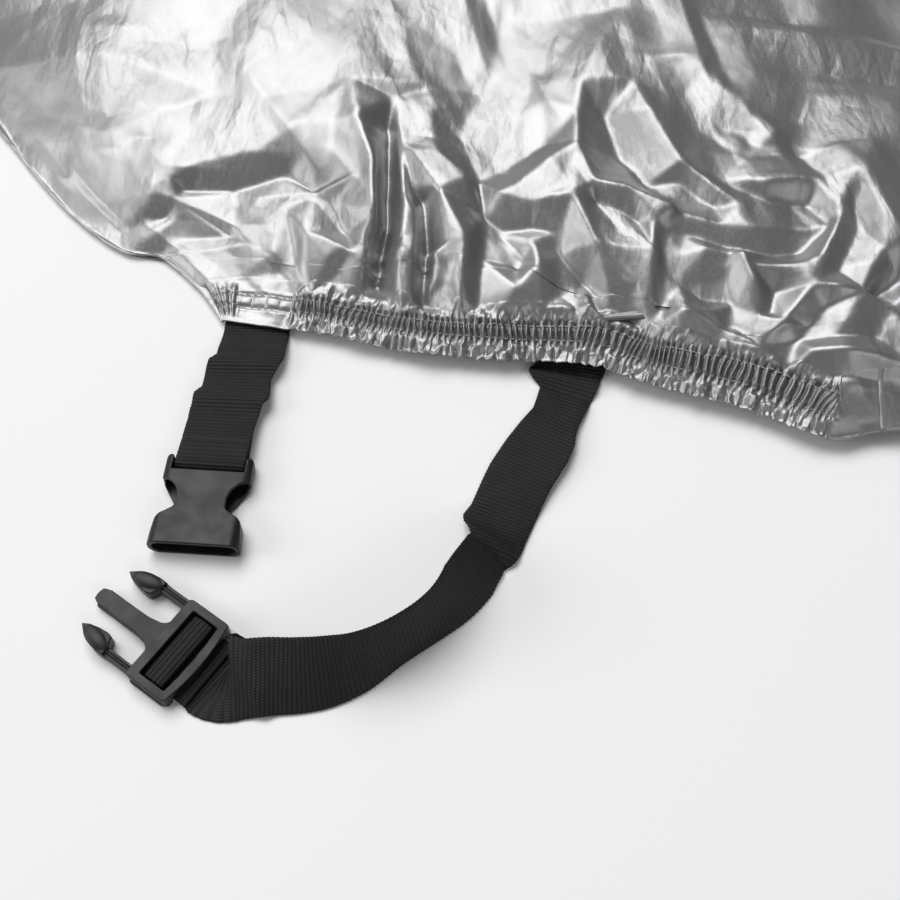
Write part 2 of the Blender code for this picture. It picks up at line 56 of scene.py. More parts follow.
def makeCamera():
    target = Vector(drawingStart) + Vector((*cameraSetup["over"], 0)) * mm
    lift = math.radians(cameraSetup["elevation"])
    data = bpy.data.cameras.new("camera")
    data.lens = cameraSetup["lens"]
    data.sensor_width = 36
    data.clip_start = 0.01
    camera = bpy.data.objects.new("camera", data)
    bpy.context.collection.objects.link(camera)
    camera.location = target + Vector((0, -math.cos(lift), math.sin(lift))) * cameraSetup["distance"]
    camera.rotation_euler = (math.pi / 2 - lift, 0, 0)
    bpy.context.scene.camera = camera


makeCamera()
print("camera made")

# outline of the cover, repeated from the CAD source
hemLine = (  # x, y and height of the hem, front to rear, m
    (0.000, 0.000, 0.0030),
    (0.026, -0.005, 0.0034),
    (0.042, -0.008, 0.0040),
    (0.057, -0.0125, 0.0045),
    (0.076, -0.017, 0.0050),
    (0.105, -0.020, 0.0050),
    (0.123, -0.0205, 0.0048),
    (0.142, -0.023, 0.0048),
    (0.157, -0.030, 0.0050),
    (0.192, -0.041, 0.0055),
    (0.222, -0.0545, 0.0055),
    (0.238, -0.052, 0.0060),
    (0.262, -0.0515, 0.0075),
    (0.33, -0.052, 0.011),
    (0.50, -0.050, 0.017),
    (0.80, -0.046, 0.019),
    (1.10, -0.044, 0.017),
    (1.42, -0.034, 0.008),
    (1.55, -0.008, 0.005),
    (1.66, 0.030, 0.003),
)
frontLine = (  # x and y, m, as in the next two
    (0.000, 0.000),
    (-0.011, 0.016),
    (-0.027, 0.031),
    (-0.0425, 0.034),
    (-0.064, 0.051),
    (-0.090, 0.082),
    (-0.122, 0.130),
    (-0.146, 0.220),
    (-0.150, 0.340),
    (-0.140, 0.500),
    (-0.080, 0.800),
    (0.050, 1.020),
)
topLine = (
    (0.05, 1.02),
    (0.25, 1.10),
    (0.50, 1.08),
    (0.80, 0.98),
    (1.20, 0.88),
    (1.60, 0.82),
    (1.78, 0.74),
)
rearLine = (
    (1.66, 0.03),
    (1.74, 0.08),
    (1.82, 0.20),
    (1.86, 0.40),
    (1.85, 0.60),
    (1.78, 0.74),
)


def alongCurve(rows, t, measured=2):
    # points of a Catmull-Rom curve through the rows, for t from 0 to 1 by chord length,
    # which the first measured columns give
    knots = np.array(rows, float)
    steps = np.linalg.norm(np.diff(knots[:, :measured], axis=0), axis=1)
    ends = np.concatenate(([0], np.cumsum(steps)))
    along = np.clip(np.asarray(t, float), 0, 1) * ends[-1]
    i = np.clip(np.searchsorted(ends, along, side="left") - 1, 0, len(steps) - 1)
    s = ((along - ends[i]) / steps[i])[..., None]
    a = knots[np.maximum(i - 1, 0)]
    b = knots[i]
    c = knots[i + 1]
    d = knots[np.minimum(i + 2, len(knots) - 1)]
    return b + 0.5 * s * (c - a + s * (2 * a - 5 * b + 4 * c - d + s * (3 * (b - c) + d - a)))


def graded(count, fineCount, fineShare, power=3):
    # even fine steps over fineShare, then ever longer ones up to 1
    step = fineShare / fineCount
    rest = count - fineCount
    k = np.arange(1, rest + 1)
    growth = (1 - fineShare - step * rest) / rest**power
    return np.concatenate((np.arange(fineCount + 1) * step, fineShare + k * step + growth * k**power))


def panelPlan(u, v, lowLine=hemLine, leftLine=frontLine):
    # flat x and y between the four edges of a panel
    u = np.asarray(u, float)[..., None]
    v = np.asarray(v, float)[..., None]
    low = alongCurve(lowLine, u[..., 0])[..., :2]
    high = alongCurve(topLine, u[..., 0])
    left = alongCurve(leftLine, v[..., 0])
    right = alongCurve(rearLine, v[..., 0])
    corner = [np.array(p[:2]) for p in (lowLine[0], lowLine[-1], topLine[0], topLine[-1])]
    level = (1 - v) * ((1 - u) * corner[0] + u * corner[1]) + v * ((1 - u) * corner[2] + u * corner[3])
    return (1 - v) * low + v * high + (1 - u) * left + u * right - level


def distanceTo(line, x, y):
    # how far each point is from a line of straight pieces
    nearest = np.full(np.shape(x), np.inf)
    knots = np.array(line, float)[:, :2]
    for a, b in zip(knots, knots[1:]):
        run = b - a
        share = np.clip(((x - a[0]) * run[0] + (y - a[1]) * run[1]) / (run @ run), 0, 1)
        nearest = np.minimum(nearest, np.hypot(x - a[0] - share * run[0], y - a[1] - share * run[1]))
    return nearest


upperPanel = {
    "columns": (368, 248, 0.170),  # steps in all, fine steps, share that is fine
    "rows": (264, 180, 0.180),
    "crown": 30 * mm,
    "seamHeight": 2.55 * mm,
    "seamRounding": 55 * mm,
    "hemRounding": 40 * mm,
    "gathered": 0.16,  # spare width at the elastic, of what the points can show
    "gatherReach": 0.045,
    "looseAcross": 0.10,
    "looseUp": 0.09,
    "looseCorners": (  # x and y ranges, least distance apart, tries, seed, height above those around
        ((-90, 60), (-10, 100), 17, 500, 50, (-1, 1)),
        ((60, 280), (-50, 100), 12, 700, 51, (-1.5, 1.5)),
        ((-150, 420), (-50, 250), 30, 700, 52, (-4, 7)),
        ((-150, 1870), (-50, 1120), 85, 1200, 53, (-5, 11)),
    ),
    "lowest": 2.6 * mm,  # it never lies lower than this, where the drawn height allows
    "room": 17 * mm,  # how far over the drawn height it may rise as it settles
    "frontReach": (290 * mm, 130 * mm),  # where the front folds end, along and up the cover
    "frontSmoothed": 0.75,  # share of the settled shape that is taken away at the front
    "facetSink": 2 * mm,  # level of the facets' drawing that lies on the drawn height
    "facetsBehind": 0.7,  # strength of the facets behind the front
    "hemBand": (13 * mm, 19 * mm),  # the facets start between these distances from the hem
    "calmCorner": 0.72,  # strength of the facets left of the hem, and where it ends
    "calmUntil": (35 * mm, 60 * mm),
    "crumpleApart": (2.5 * mm, 6 * mm),  # point spacing at which the crumples fade
    "crumples": (  # size, seed, height, direction in degrees, how much longer than wide
        (16, 33, 0.45, -35, 2.4),
        (8, 35, 0.15, 40, 2.0),
    ),
    "drawnCrumples": ((8, 41, 0.45, 3.0),),  # size, seed, height, how much longer than wide
    "streakUp": (3 * mm, 7 * mm),  # point spacings up and across at which streaks are smoothed
    "streakAcross": (4 * mm, 9 * mm),
    "streakRounds": 70,
    "easing": 2,
}

frontFolds = (  # ridges and troughs as lines of x, y and height, mm
    ((-30, 92, 5), (-22, 78, 7), (-23, 60, 6), (-9, 66, 8), (9, 67, 8), (28, 65, 6)),
    ((-19, 57, 1), (2, 55, 0), (20, 59, 1), (33, 50, 1)),
    ((-52, 84, 5), (-36, 66, 5), (-22, 52, 6), (6, 31, 5)),
    ((-66, 54, 3), (-28, 54, 6)),
    ((-62, 46, 1), (-45, 42, 1), (-25, 46, 2)),
    ((-42, 31, 1.5), (-37, 37, 4), (-28, 40, 5), (-20, 48, 5)),
    ((-27, 31, 4), (-12, 30, 5), (-3, 25, 4)),
    ((-18, 37, 1.5), (1, 36, 1)),
    ((2, 17, 2), (18, 26, 6), (30, 13, 2)),
    ((22, 19, 2.5), (26, 27, 2.5)),
    ((3, 39, 4), (10, 46, 6), (22, 43, 6), (30, 31, 9), (37, 11, 3)),
    ((28, 78, 10), (34, 52, 3), (38, 52, 3), (41, 78, 10)),
    ((12, 49, 6), (33, 49, 6), (52, 54, 9)),
    ((40, 44, 4), (46, 32, 3)),
    ((47, 98, 12), (50, 78, 13), (58, 55, 13), (58, 35, 11), (54, 17, 7), (53, 6, 3)),
    ((38, 12, 3), (40, 20, 7), (45, 24, 8), (49, 21, 7), (48, 9, 3)),
    ((44, 17, 3), (44, 12, 2.5)),
    ((62, 78, 2), (62, 55, -2), (61, 35, -4), (58, 14, -4)),
    ((64, 90, 7), (68, 68, 9), (69, 42, 9), (67, 20, 9), (68, -1, 4)),
    ((72, 50, 4), (74, 35, 7), (73, 20, 8), (73, 1, 4)),
    ((76, 44, 0), (77, 22, -3), (76, 3, -3), (81, -8, 1)),
    ((72, 63, 10), (82, 43, 10), (92, 22, 8), (91, 6, 7), (91, -9, 3)),
    ((68, 68, 9), (82, 62, 10), (94, 49, 9)),
    ((80, 84, 9), (90, 74, 5), (105, 68, 5)),
    ((97, 52, 3), (99, 36, 1), (98, 18, 0), (97, 2, 0)),
    ((80, 9, 3), (80, 18, 7), (85, 22, 7)),
    ((85, 8, 3), (87, -2, 2)),
    ((106, 43, 9), (120, 51, 10), (136, 61, 12)),
    ((106, 43, 9), (118, 38, 8), (132, 43, 9)),
    ((110, 58, 4), (124, 64, 5)),
    ((108, 30, 1), (117, 30, 2), (126, 27, 2), (130, 30, 3)),
    ((139, 92, 13), (137, 78, 12), (136, 61, 12), (133, 38, 10)),
    ((133, 38, 10), (142, 43, 11), (156, 39, 10), (171, 31, 11)),
    ((143, 38, 5), (152, 33, 4), (158, 28, 4)),
    ((133, 38, 10), (141, 18, 9), (147, -2, 3)),
    ((118, 24, 4), (128, 20, -1), (137, 8, -3), (141, -3, -1)),
    ((142, 43, 11), (151, 27, 6), (162, 14, 8)),
    ((171, 31, 11), (164, 27, 9), (162, 14, 8), (159, -9, 4)),
    ((167, 24, 5), (166, 10, 2), (165, -5, 1)),
    ((148, 78, 4), (153, 60, 0), (162, 46, 1), (170, 38, 4)),
    ((160, 92, 11), (164, 76, 11), (175, 52, 10), (195, 33, 7)),
    ((174, 46, 4), (186, 35, 3)),
    ((147, -3, 2), (151, 4, 6), (156, 3, 6), (157, -8, 2)),
    ((104, -7, 2), (111, 4, 6), (119, 13, 7), (121, -3, 5)),
    ((112, 14, 1), (108, 20, 1)),
    ((114, -7, 2), (121, -3, 5), (129, -3, 5), (133, -9, 2)),
    ((128, 3, 1), (134, -2, 2)),
    ((134, -8, 2), (139, -3, 6), (143, -6, 3)),
    ((182, 70, 7), (200, 55, 6), (205, 42, 9)),
    ((205, 42, 9), (225, 43, 11), (243, 45, 14)),
    ((190, 45, 5), (205, 36, 4), (222, 35, 4)),
    ((243, 45, 14), (232, 28, 12), (222, 9, 9), (211, 6, 8), (197, 8, 6)),
    ((240, 38, 9), (236, 20, 6), (228, 4, 4)),
    ((243, 45, 14), (249, 26, 13), (244, 10, 11), (236, -5, 7), (227, -4, 8), (218, -2, 8)),
    ((218, -2, 8), (207, -14, 7), (199, -21, 4)),
    ((222, -9, 2), (212, -20, 2)),
    ((173, 30, 7), (188, 25, 6), (197, 23, 7), (213, 22, 6), (227, 23, 7)),
    ((175, 23, 3), (190, 17, 2), (205, 13, 2.5), (216, 14, 3)),
    ((172, 14, 4), (182, 16, 6), (190, 14, 5)),
    ((188, 6, 1.5), (190, -4, 0.5), (189, -12, 0.5)),
    ((194, 12, 8), (197, 2, 8), (198, -10, 4)),
    ((205, -1, 1.5), (203, -9, 2)),
    ((163, -11, 3), (172, -8, 6), (183, -8, 5), (186, -15, 3)),
    ((172, 3, 2), (180, -2, 1)),
    ((262, 6, 10), (246, -10, 6)),
    ((250, 2, 2), (241, -4, 1)),
    ((246, -10, 6), (240, -20, 3), (224, -20, 3)),
    ((208, -31, 3), (216, -26, 7), (228, -27, 8), (252, -31, 8), (275, -28, 9)),
    ((250, -18, 8), (262, -20, 6)),
    ((226, -34, 2), (246, -36, 2)),
    ((222, -44, 3), (235, -39, 6), (256, -39, 7)),
    ((254, 66, 11), (251, 50, 11), (252, 34, 11), (259, 18, 9)),
    ((262, 48, 4), (264, 30, 4)),
    ((215, 68, 10), (228, 58, 8), (240, 62, 10)),
)
longFolds = (  # from x and y to x and y, height, width to the left and to the right, mm
    (100, 200, 550, 750, 12, 45, 65),
    (250, 130, 950, 600, 11, 70, 50),
    (430, 60, 600, 400, 12, 35, 55),
    (780, 50, 700, 450, 10, 60, 50),
    (1050, 60, 1250, 550, 11, 50, 70),
    (1380, 90, 1000, 700, 9, 70, 50),
    (1560, 150, 1600, 680, 10, 60, 60),
    (0, 350, 200, 930, 10, 60, 50),
    (380, 930, 1050, 800, 9, 50, 70),
    (-60, 160, 150, 250, 11, 30, 40),
)
# Each step settles every so many points. Its loose creases are given as count, seed, x and y
# ranges, and ranges of length, height and width, mm.
upperPanel["steps"] = (
    {
        "every": 8,
        "folds": longFolds,
        "loose": (
            (160, 3, (-150, 1850), (0, 1050), (80, 320), (5, 12), (25, 60)),
            (60, 4, (-140, 330), (-40, 330), (30, 110), (4, 9), (12, 30)),
        ),
        "spare": 0.8,  # share of the spare width and length used
        "stiff": 0.1,  # how hard bends are opened, and how sharp a bend has to be to stay
        "creased": 0.01,
        "rounds": 100,
    },
    {
        "every": 4,
        "folds": (),
        "loose": (
            (120, 5, (-150, 1850), (0, 1050), (50, 150), (2, 6), (12, 30)),
            (90, 6, (-140, 330), (-50, 330), (15, 60), (2, 5), (6, 16)),
        ),
        "spare": 0.9,
        "stiff": 0.15,
        "creased": 0.01,
        "rounds": 80,
    },
    {
        "every": 2,
        "folds": (),
        "loose": ((120, 8, (-140, 330), (-50, 330), (8, 40), (0.6, 2), (3, 8)),),
        "spare": 1.0,
        "stiff": 0.2,
        "creased": 0.01,
        "rounds": 60,
    },
)


def creaseHeight(x, y, rows):
    # sharp ridges, or troughs where the height is negative, that die down at their own widths
    total = np.zeros(np.shape(x))
    for x1, y1, x2, y2, height, leftWidth, rightWidth in rows:
        run = np.array((x2 - x1, y2 - y1)) * mm
        dx = x - x1 * mm
        dy = y - y1 * mm
        share = np.clip((dx * run[0] + dy * run[1]) / (run @ run), 0, 1)
        away = np.hypot(dx - share * run[0], dy - share * run[1])
        isLeft = run[0] * dy - run[1] * dx > 0
        slope = away / (np.where(isLeft, leftWidth, rightWidth) * mm)
        total += height * mm * np.exp(-slope) * np.clip(1.25 - 0.25 * slope, 0, 1)
    return total


def looseCreases(count, seed, xs, ys, lengths, heights, widths):
    # sharp creases at random places and in random directions, half of them troughs
    rng = np.random.default_rng(seed)
    rows = []
    for _ in range(count):
        x = rng.uniform(*xs)
        y = rng.uniform(*ys)
        half = 0.5 * rng.uniform(*lengths)
        turn = rng.uniform(0, math.pi)
        dx = half * math.cos(turn)
        dy = half * math.sin(turn)
        height = rng.uniform(*heights) * rng.choice((-1, 1))
        rows.append((x - dx, y - dy, x + dx, y + dy, height, *rng.uniform(*widths, 2)))
    return rows


def nearestSquared(x, y, size, seed):
    # square of the distance to the nearest of many points, scattered one to a cell
    offsets = np.random.default_rng(seed).uniform(0, 1, (64, 64, 2))
    x = x / size
    y = y / size
    i = np.floor(x).astype(int)
    j = np.floor(y).astype(int)
    nearest = np.full(np.shape(x), 9.0)
    for di in (-1, 0, 1):
        for dj in (-1, 0, 1):
            spot = offsets[(i + di) % 64, (j + dj) % 64]
            gap = (i + di + spot[..., 0] - x) ** 2 + (j + dj + spot[..., 1] - y) ** 2
            nearest = np.minimum(nearest, gap)
    return nearest


def facets(x, y, size, seed):
    # flat facets that meet in sharp ridges and troughs: the curved parts of the two cancel
    return nearestSquared(x, y, size, seed) - nearestSquared(x + 0.37 * size, y, size, seed + 1)


def crumple(x, y, fromHem):
    # facets in several sizes, drawn out up from the hem where the elastic gathers the cloth
    total = np.zeros(np.shape(x))
    for size, seed, height, turn, longer in upperPanel["crumples"]:
        a = math.radians(turn)
        across = x * math.cos(a) + y * math.sin(a)
        along = (y * math.cos(a) - x * math.sin(a)) / longer
        total += height * mm * facets(across, along, size * mm, seed)
    near = np.exp(-fromHem / (45 * mm))
    drawn = np.zeros(np.shape(x))
    for size, seed, height, longer in upperPanel["drawnCrumples"]:
        drawn += height * mm * facets(x + 0.25 * y, (y + 0.3 * x) / longer, size * mm, seed)
    return total * (1 - 0.6 * near) + drawn * near


def foldCorners():
    # the corners of the front folds, and loose ones wherever there are none, as x, y and height
    corners = []
    lines = []
    for fold in frontFolds:
        for place in fold:
            if place not in corners:
                corners.append(place)
        lines += [(corners.index(a), corners.index(b)) for a, b in zip(fold, fold[1:])]
    placed = np.array(corners, float)
    knots = [(placed[a], placed[b]) for a, b in lines]
    for xs, ys, apart, count, seed, heights in upperPanel["looseCorners"]:
        rng = np.random.default_rng(seed)
        for _ in range(count):
            spot = np.array((rng.uniform(*xs), rng.uniform(*ys), 0))
            if np.hypot(*(placed[:, :2] - spot[:2]).T).min() < apart:
                continue
            if min(distanceTo((a, b), spot[0], spot[1]) for a, b in knots) < 0.4 * apart:
                continue
            around = np.hypot(*(placed[:, :2] - spot[:2]).T)
            weight = np.exp(-((around / 25) ** 2))
            level = (weight * placed[:, 2]).sum() / weight.sum() if weight.sum() > 0.05 else 5.0
            spot[2] = level + rng.uniform(*heights)
            placed = np.vstack((placed, spot))
    return placed, lines


def foldHeight(x, y):
    # the cloth as flat facets between the folds
    placed, lines = foldCorners()
    made, _, faces, origins, _, _ = delaunay_2d_cdt([Vector(p[:2]) for p in placed], lines, [], 0, 0.01)
    made = np.array(made)
    level = []
    for spot, origin in zip(made, origins):
        if origin:
            level.append(placed[origin[0], 2])
        else:
            weight = 1 / (np.hypot(*(placed[:, :2] - spot).T) ** 2 + 1)
            level.append((weight * placed[:, 2]).sum() / weight.sum())
    level = np.array(level)
    height = np.full(x.shape, 5.0)
    x = x / mm
    y = y / mm
    for face in faces:
        (ax, ay), (bx, by), (cx, cy) = made[list(face)]
        inBox = (x >= min(ax, bx, cx)) & (x <= max(ax, bx, cx))
        inBox &= (y >= min(ay, by, cy)) & (y <= max(ay, by, cy))
        size = (bx - ax) * (cy - ay) - (cx - ax) * (by - ay)
        px, py = x[inBox], y[inBox]
        if not len(px) or abs(size) < 1e-6:
            continue
        second = ((px - ax) * (cy - ay) - (cx - ax) * (py - ay)) / size
        third = ((bx - ax) * (py - ay) - (px - ax) * (by - ay)) / size
        a, b, c = level[list(face)]
        inside = (second >= -1e-6) & (third >= -1e-6) & (second + third <= 1 + 1e-6)
        values = height[inBox]
        values[inside] = (a + (b - a) * second + (c - a) * third)[inside]
        height[inBox] = values
    return height * mm


def clothHeight(x, y):
    # the drawn height of the upper panel, which is domed, and the distances to its edges
    settings = upperPanel
    fromHem = distanceTo(hemLine, x, y)
    fromSeam = np.minimum(distanceTo(frontLine, x, y), distanceTo(topLine, x, y))
    fromSeam = np.minimum(fromSeam, distanceTo(rearLine, x, y))
    inside = 1 - np.exp(-fromSeam / settings["seamRounding"])
    behind = 1 - np.exp(-fromHem / settings["hemRounding"])
    knots = np.array(hemLine)
    hemHeight = np.interp(x, knots[:, 0], knots[:, 2])
    raised = (hemHeight - settings["seamHeight"]) * np.exp(-fromHem / 0.12)
    raised *= 1 - np.exp(-fromSeam / 0.018)
    base = settings["seamHeight"] + raised + settings["crown"] * inside * behind
    return base, fromHem, fromSeam


def holdLengths(points, first, second, rest, free, strength):
    # moves each pair of points towards its length at rest
    a = points[first]
    b = points[second]
    gap = b - a
    length = np.sqrt((gap * gap).sum(-1)) + 1e-9
    weight = free[first] + free[second]
    move = gap * (strength * (length - rest) / length / np.maximum(weight, 1e-6))[..., None]
    points[first] = a + move * free[first][..., None]
    points[second] = b - move * free[second][..., None]


def settleCloth(points, plan, spareAcross, spareUp, free, low, high, step):
    # the cloth was cut wider than the place that it lies in, so it buckles into creases: in each
    # round its bends open a little, it sinks a little, and its threads go back to their lengths
    nx, ny = points.shape[:2]
    whole = slice(None)
    across = np.linalg.norm(np.diff(plan, axis=0), axis=-1) * 0.5 * (spareAcross[1:] + spareAcross[:-1])
    up = np.linalg.norm(np.diff(plan, axis=1), axis=-1) * 0.5 * (spareUp[:, 1:] + spareUp[:, :-1])
    ex = plan[1:, :-1] - plan[:-1, :-1]
    ey = plan[:-1, 1:] - plan[:-1, :-1]
    cosine = (ex * ey).sum(-1) / (np.linalg.norm(ex, axis=-1) * np.linalg.norm(ey, axis=-1))
    ax = across[:, :-1]
    uy = up[:-1]
    rising = np.sqrt(ax**2 + uy**2 + 2 * ax * uy * cosine)
    falling = np.sqrt(ax**2 + uy**2 - 2 * ax * uy * cosine)
    jobs = []
    for offset in (0, 1):
        second = slice(offset + 1, nx, 2)
        first = slice(offset, offset + 2 * len(range(*second.indices(nx))) - 1, 2)
        jobs.append(((first, whole), (second, whole), across[first], 1.0))
        jobs.append(((first, slice(0, ny - 1)), (second, slice(1, ny)), rising[first], 0.3))
        jobs.append(((first, slice(1, ny)), (second, slice(0, ny - 1)), falling[first], 0.3))
        second = slice(offset + 1, ny, 2)
        first = slice(offset, offset + 2 * len(range(*second.indices(ny))) - 1, 2)
        jobs.append(((whole, first), (whole, second), up[:, first], 1.0))
    edgeAcross = 0.5 * (across[1:] + across[:-1])[..., None]
    edgeUp = 0.5 * (up[:, 1:] + up[:, :-1])[..., None]
    stiff = step["stiff"]
    creased = step["creased"]
    for _ in range(step["rounds"]):
        bend = 0.5 * (points[2:] + points[:-2]) - points[1:-1]
        sharp = (bend**2).sum(-1, keepdims=True) / edgeAcross**2
        points[1:-1] += bend * free[1:-1, :, None] * stiff / (1 + sharp / creased)
        bend = 0.5 * (points[:, 2:] + points[:, :-2]) - points[:, 1:-1]
        sharp = (bend**2).sum(-1, keepdims=True) / edgeUp**2
        points[:, 1:-1] += bend * free[:, 1:-1, None] * stiff / (1 + sharp / creased)
        points[..., 2] -= 0.02 * mm * free
        for _ in range(2):
            for first, second, rest, strength in jobs:
                holdLengths(points, first, second, rest, free, strength)
        points[..., 2] = np.clip(points[..., 2], low, high)
    return points


def finer(points, u, v, newU, newV):
    # the same surface at more points
    across = np.empty((len(newU), len(v), 3))
    for k in range(len(v)):
        for axis in range(3):
            across[:, k, axis] = np.interp(newU, u, points[:, k, axis])
    made = np.empty((len(newU), len(newV), 3))
    for i in range(len(newU)):
        for axis in range(3):
            made[i, :, axis] = np.interp(newV, v, across[i, :, axis])
    return made


def linkMesh(name, mesh):
    obj = bpy.data.objects.new(name, mesh)
    bpy.context.collection.objects.link(obj)
    return obj


def clothGrid(name, points, flat=None, paintedShade=None):
    # a grid laid on the points, with the flat cloth's own lengths as its UV map, in metres
    nx, ny = points.shape[:2]
    bm = bmesh.new()
    bmesh.ops.create_grid(bm, x_segments=nx - 1, y_segments=ny - 1, size=0.5, calc_uvs=False)
    mesh = bpy.data.meshes.new(name)
    bm.to_mesh(mesh)
    bm.free()
    place = np.zeros(len(mesh.vertices) * 3)
    mesh.vertices.foreach_get("co", place)
    place = place.reshape(-1, 3)
    i = np.rint((place[:, 0] + 0.5) * (nx - 1)).astype(int)
    j = np.rint((place[:, 1] + 0.5) * (ny - 1)).astype(int)
    mesh.vertices.foreach_set("co", (points[i, j] + drawingStart).ravel())
    if flat is not None:
        corners = np.zeros(len(mesh.loops), int)
        mesh.loops.foreach_get("vertex_index", corners)
        layer = mesh.uv_layers.new(name="cloth")
        layer.data.foreach_set("uv", flat[i, j][corners].ravel())
    # the painted shade, stored on the points for the cloth's colour to darken with
    if paintedShade is not None:
        mesh.attributes.new("paintedShade", "FLOAT", "POINT").data.foreach_set("value", paintedShade[i, j].astype(float))
    mesh.shade_smooth()
    mesh.update()
    return linkMesh(name, mesh)


def cellSize(plan, axis):
    # how far apart the points lie along one side of the grid
    return np.linalg.norm(np.gradient(plan, axis=axis), axis=-1)


def settledSteps(u, v):
    # settled first with few points, for the large folds, and then with ever more of them
    settings = upperPanel
    points = None
    for step in settings["steps"]:
        newU = u[:: step["every"]]
        newV = v[:: step["every"]]
        plan = panelPlan(*np.meshgrid(newU, newV, indexing="ij"))
        x = plan[..., 0]
        y = plan[..., 1]
        base, fromHem, fromSeam = clothHeight(x, y)
        inward = np.minimum(fromHem, fromSeam)
        if points is None:
            points = np.stack((x, y, base), -1)
        else:
            points = finer(points, oldU, oldV, newU, newV)
        rows = list(step["folds"])
        for loose in step["loose"]:
            rows += looseCreases(*loose)
        clear = 1 - np.exp(-inward / 0.014)
        points[..., 2] += clear * creaseHeight(points[..., 0], points[..., 1], rows)
        free = np.ones(x.shape)
        free[0] = free[-1] = 0
        free[:, 0] = free[:, -1] = 0
        gathered = settings["gathered"] * np.exp(-fromHem / settings["gatherReach"])
        spareAcross = 1 + step["spare"] * (gathered + settings["looseAcross"]) * (1 - np.exp(-inward / 0.012))
        spareUp = 1 + step["spare"] * settings["looseUp"] * (1 - np.exp(-inward / 0.02))
        low = np.minimum(base, settings["lowest"])
        high = base + settings["room"] * (1 - np.exp(-inward / 0.012)) + 1 * mm
        points = settleCloth(points, plan, spareAcross, spareUp, free, low, high, step)
        oldU = newU
        oldV = newV
    return finer(points, oldU, oldV, u, v)


def smoothStreaks(offset, plan):
    # long thin cells would show as streaks, so the short way across them is smoothed
    settings = upperPanel
    longUp = smoothStep(cellSize(plan, 1), *settings["streakUp"])[..., None]
    longAcross = smoothStep(cellSize(plan, 0), *settings["streakAcross"])[..., None]
    shareAcross = 0.25 * (longUp * (1 - longAcross))[1:-1]
    shareUp = 0.25 * (longAcross * (1 - longUp))[:, 1:-1]
    for _ in range(settings["streakRounds"]):
        offset[1:-1] += shareAcross * (offset[2:] + offset[:-2] - 2 * offset[1:-1])
        offset[:, 1:-1] += shareUp * (offset[:, 2:] + offset[:, :-2] - 2 * offset[:, 1:-1])
    return offset


def settledPanel(u, v):
    # most of the settled shape gives way to laid facets at the front, where the folds are known
    settings = upperPanel
    points = settledSteps(u, v)
    plan = panelPlan(*np.meshgrid(u, v, indexing="ij"))
    x = plan[..., 0]
    y = plan[..., 1]
    base, fromHem, fromSeam = clothHeight(x, y)
    low = np.minimum(base, settings["lowest"])
    reachX, reachY = settings["frontReach"]
    plain = np.stack((x, y, base), -1)
    front = 1 - smoothStep(x, 0.8 * reachX, 1.4 * reachX)
    keep = 1 - settings["frontSmoothed"] * front[..., None]
    points = plain + keep * (points - plain)
    front = front * (1 - smoothStep(y, 0.8 * reachY, 1.6 * reachY))
    fromBand = smoothStep(fromHem, *settings["hemBand"]) * (1 - np.exp(-fromSeam / (8 * mm)))
    calm = settings["calmCorner"] + (1 - settings["calmCorner"]) * smoothStep(x, *settings["calmUntil"])
    strength = settings["facetsBehind"] + (1 - settings["facetsBehind"]) * front
    points[..., 2] += fromBand * calm * strength * (foldHeight(x, y) - settings["facetSink"])
    apart = np.maximum(cellSize(plan, 0), cellSize(plan, 1))
    fine = 1 - smoothStep(apart, *settings["crumpleApart"])
    points[..., 2] += fromBand * crumple(x, y, fromHem) * fine
    points = plain + smoothStreaks(points - plain, plan)
    for _ in range(settings["easing"]):
        level = points[..., 2]
        eased = level.copy()
        eased[1:-1, 1:-1] = 0.5 * level[1:-1, 1:-1] + 0.125 * (
            level[2:, 1:-1] + level[:-2, 1:-1] + level[1:-1, 2:] + level[1:-1, :-2]
        )
        points[..., 2] = eased
    points[..., 2] = np.maximum(points[..., 2], low)
    return points


def surfaceAt(points, u, v, atU, atV):
    # the finished surface between its grid points, along smooth curves
    i = np.clip(np.searchsorted(u, atU) - 1, 0, len(u) - 2)
    j = np.clip(np.searchsorted(v, atV) - 1, 0, len(v) - 2)
    a = np.clip((atU - u[i]) / (u[i + 1] - u[i]), 0, 1)[..., None]
    b = np.clip((atV - v[j]) / (v[j + 1] - v[j]), 0, 1)[..., None]

    def weights(t):
        return (
            0.5 * (-t + 2 * t**2 - t**3),
            0.5 * (2 - 5 * t**2 + 3 * t**3),
            0.5 * (t + 4 * t**2 - 3 * t**3),
            0.5 * (t**3 - t**2),
        )

    total = 0
    for k, shareU in zip((-1, 0, 1, 2), weights(a)):
        column = np.clip(i + k, 0, len(u) - 1)
        for n, shareV in zip((-1, 0, 1, 2), weights(b)):
            total = total + shareU * shareV * points[column, np.clip(j + n, 0, len(v) - 1)]
    return total


def smoothStep(x, low, high):
    t = np.clip((x - low) / (high - low), 0, 1)
    return t * t * (3 - 2 * t)


hem = {
    "lowerRow": 7.2 * mm,  # stitch rows, from the edge of the hem
    "upperRows": (  # along and up, mm
        (0, 12.9),
        (28, 12.6),
        (45, 11.6),
        (90, 11.8),
        (140, 12.6),
        (185, 14.2),
        (224, 15.4),
    ),
    "covers": 24.0 * mm,  # how far up the panel the hem piece reaches
    "sunk": 1.3 * mm,  # the panel's own edge lies this much under it
    "dip": 1.4 * mm,  # and its upper edge this much under the panel
    "tuck": 1.2 * mm,  # with its last row this much lower again
    "hiddenRows": 4,  # rows of the panel left off under it
    "cloth": 0.45 * mm,
    "pitch": 2.45 * mm,  # of the gathers
    "gathersFrom": 25 * mm,
    "gathersTo": 224 * mm,
    "thread": 0.42 * mm,
}
hemLength = np.linalg.norm(np.diff(np.array(hemLine)[:, :2], axis=0), axis=1).sum()


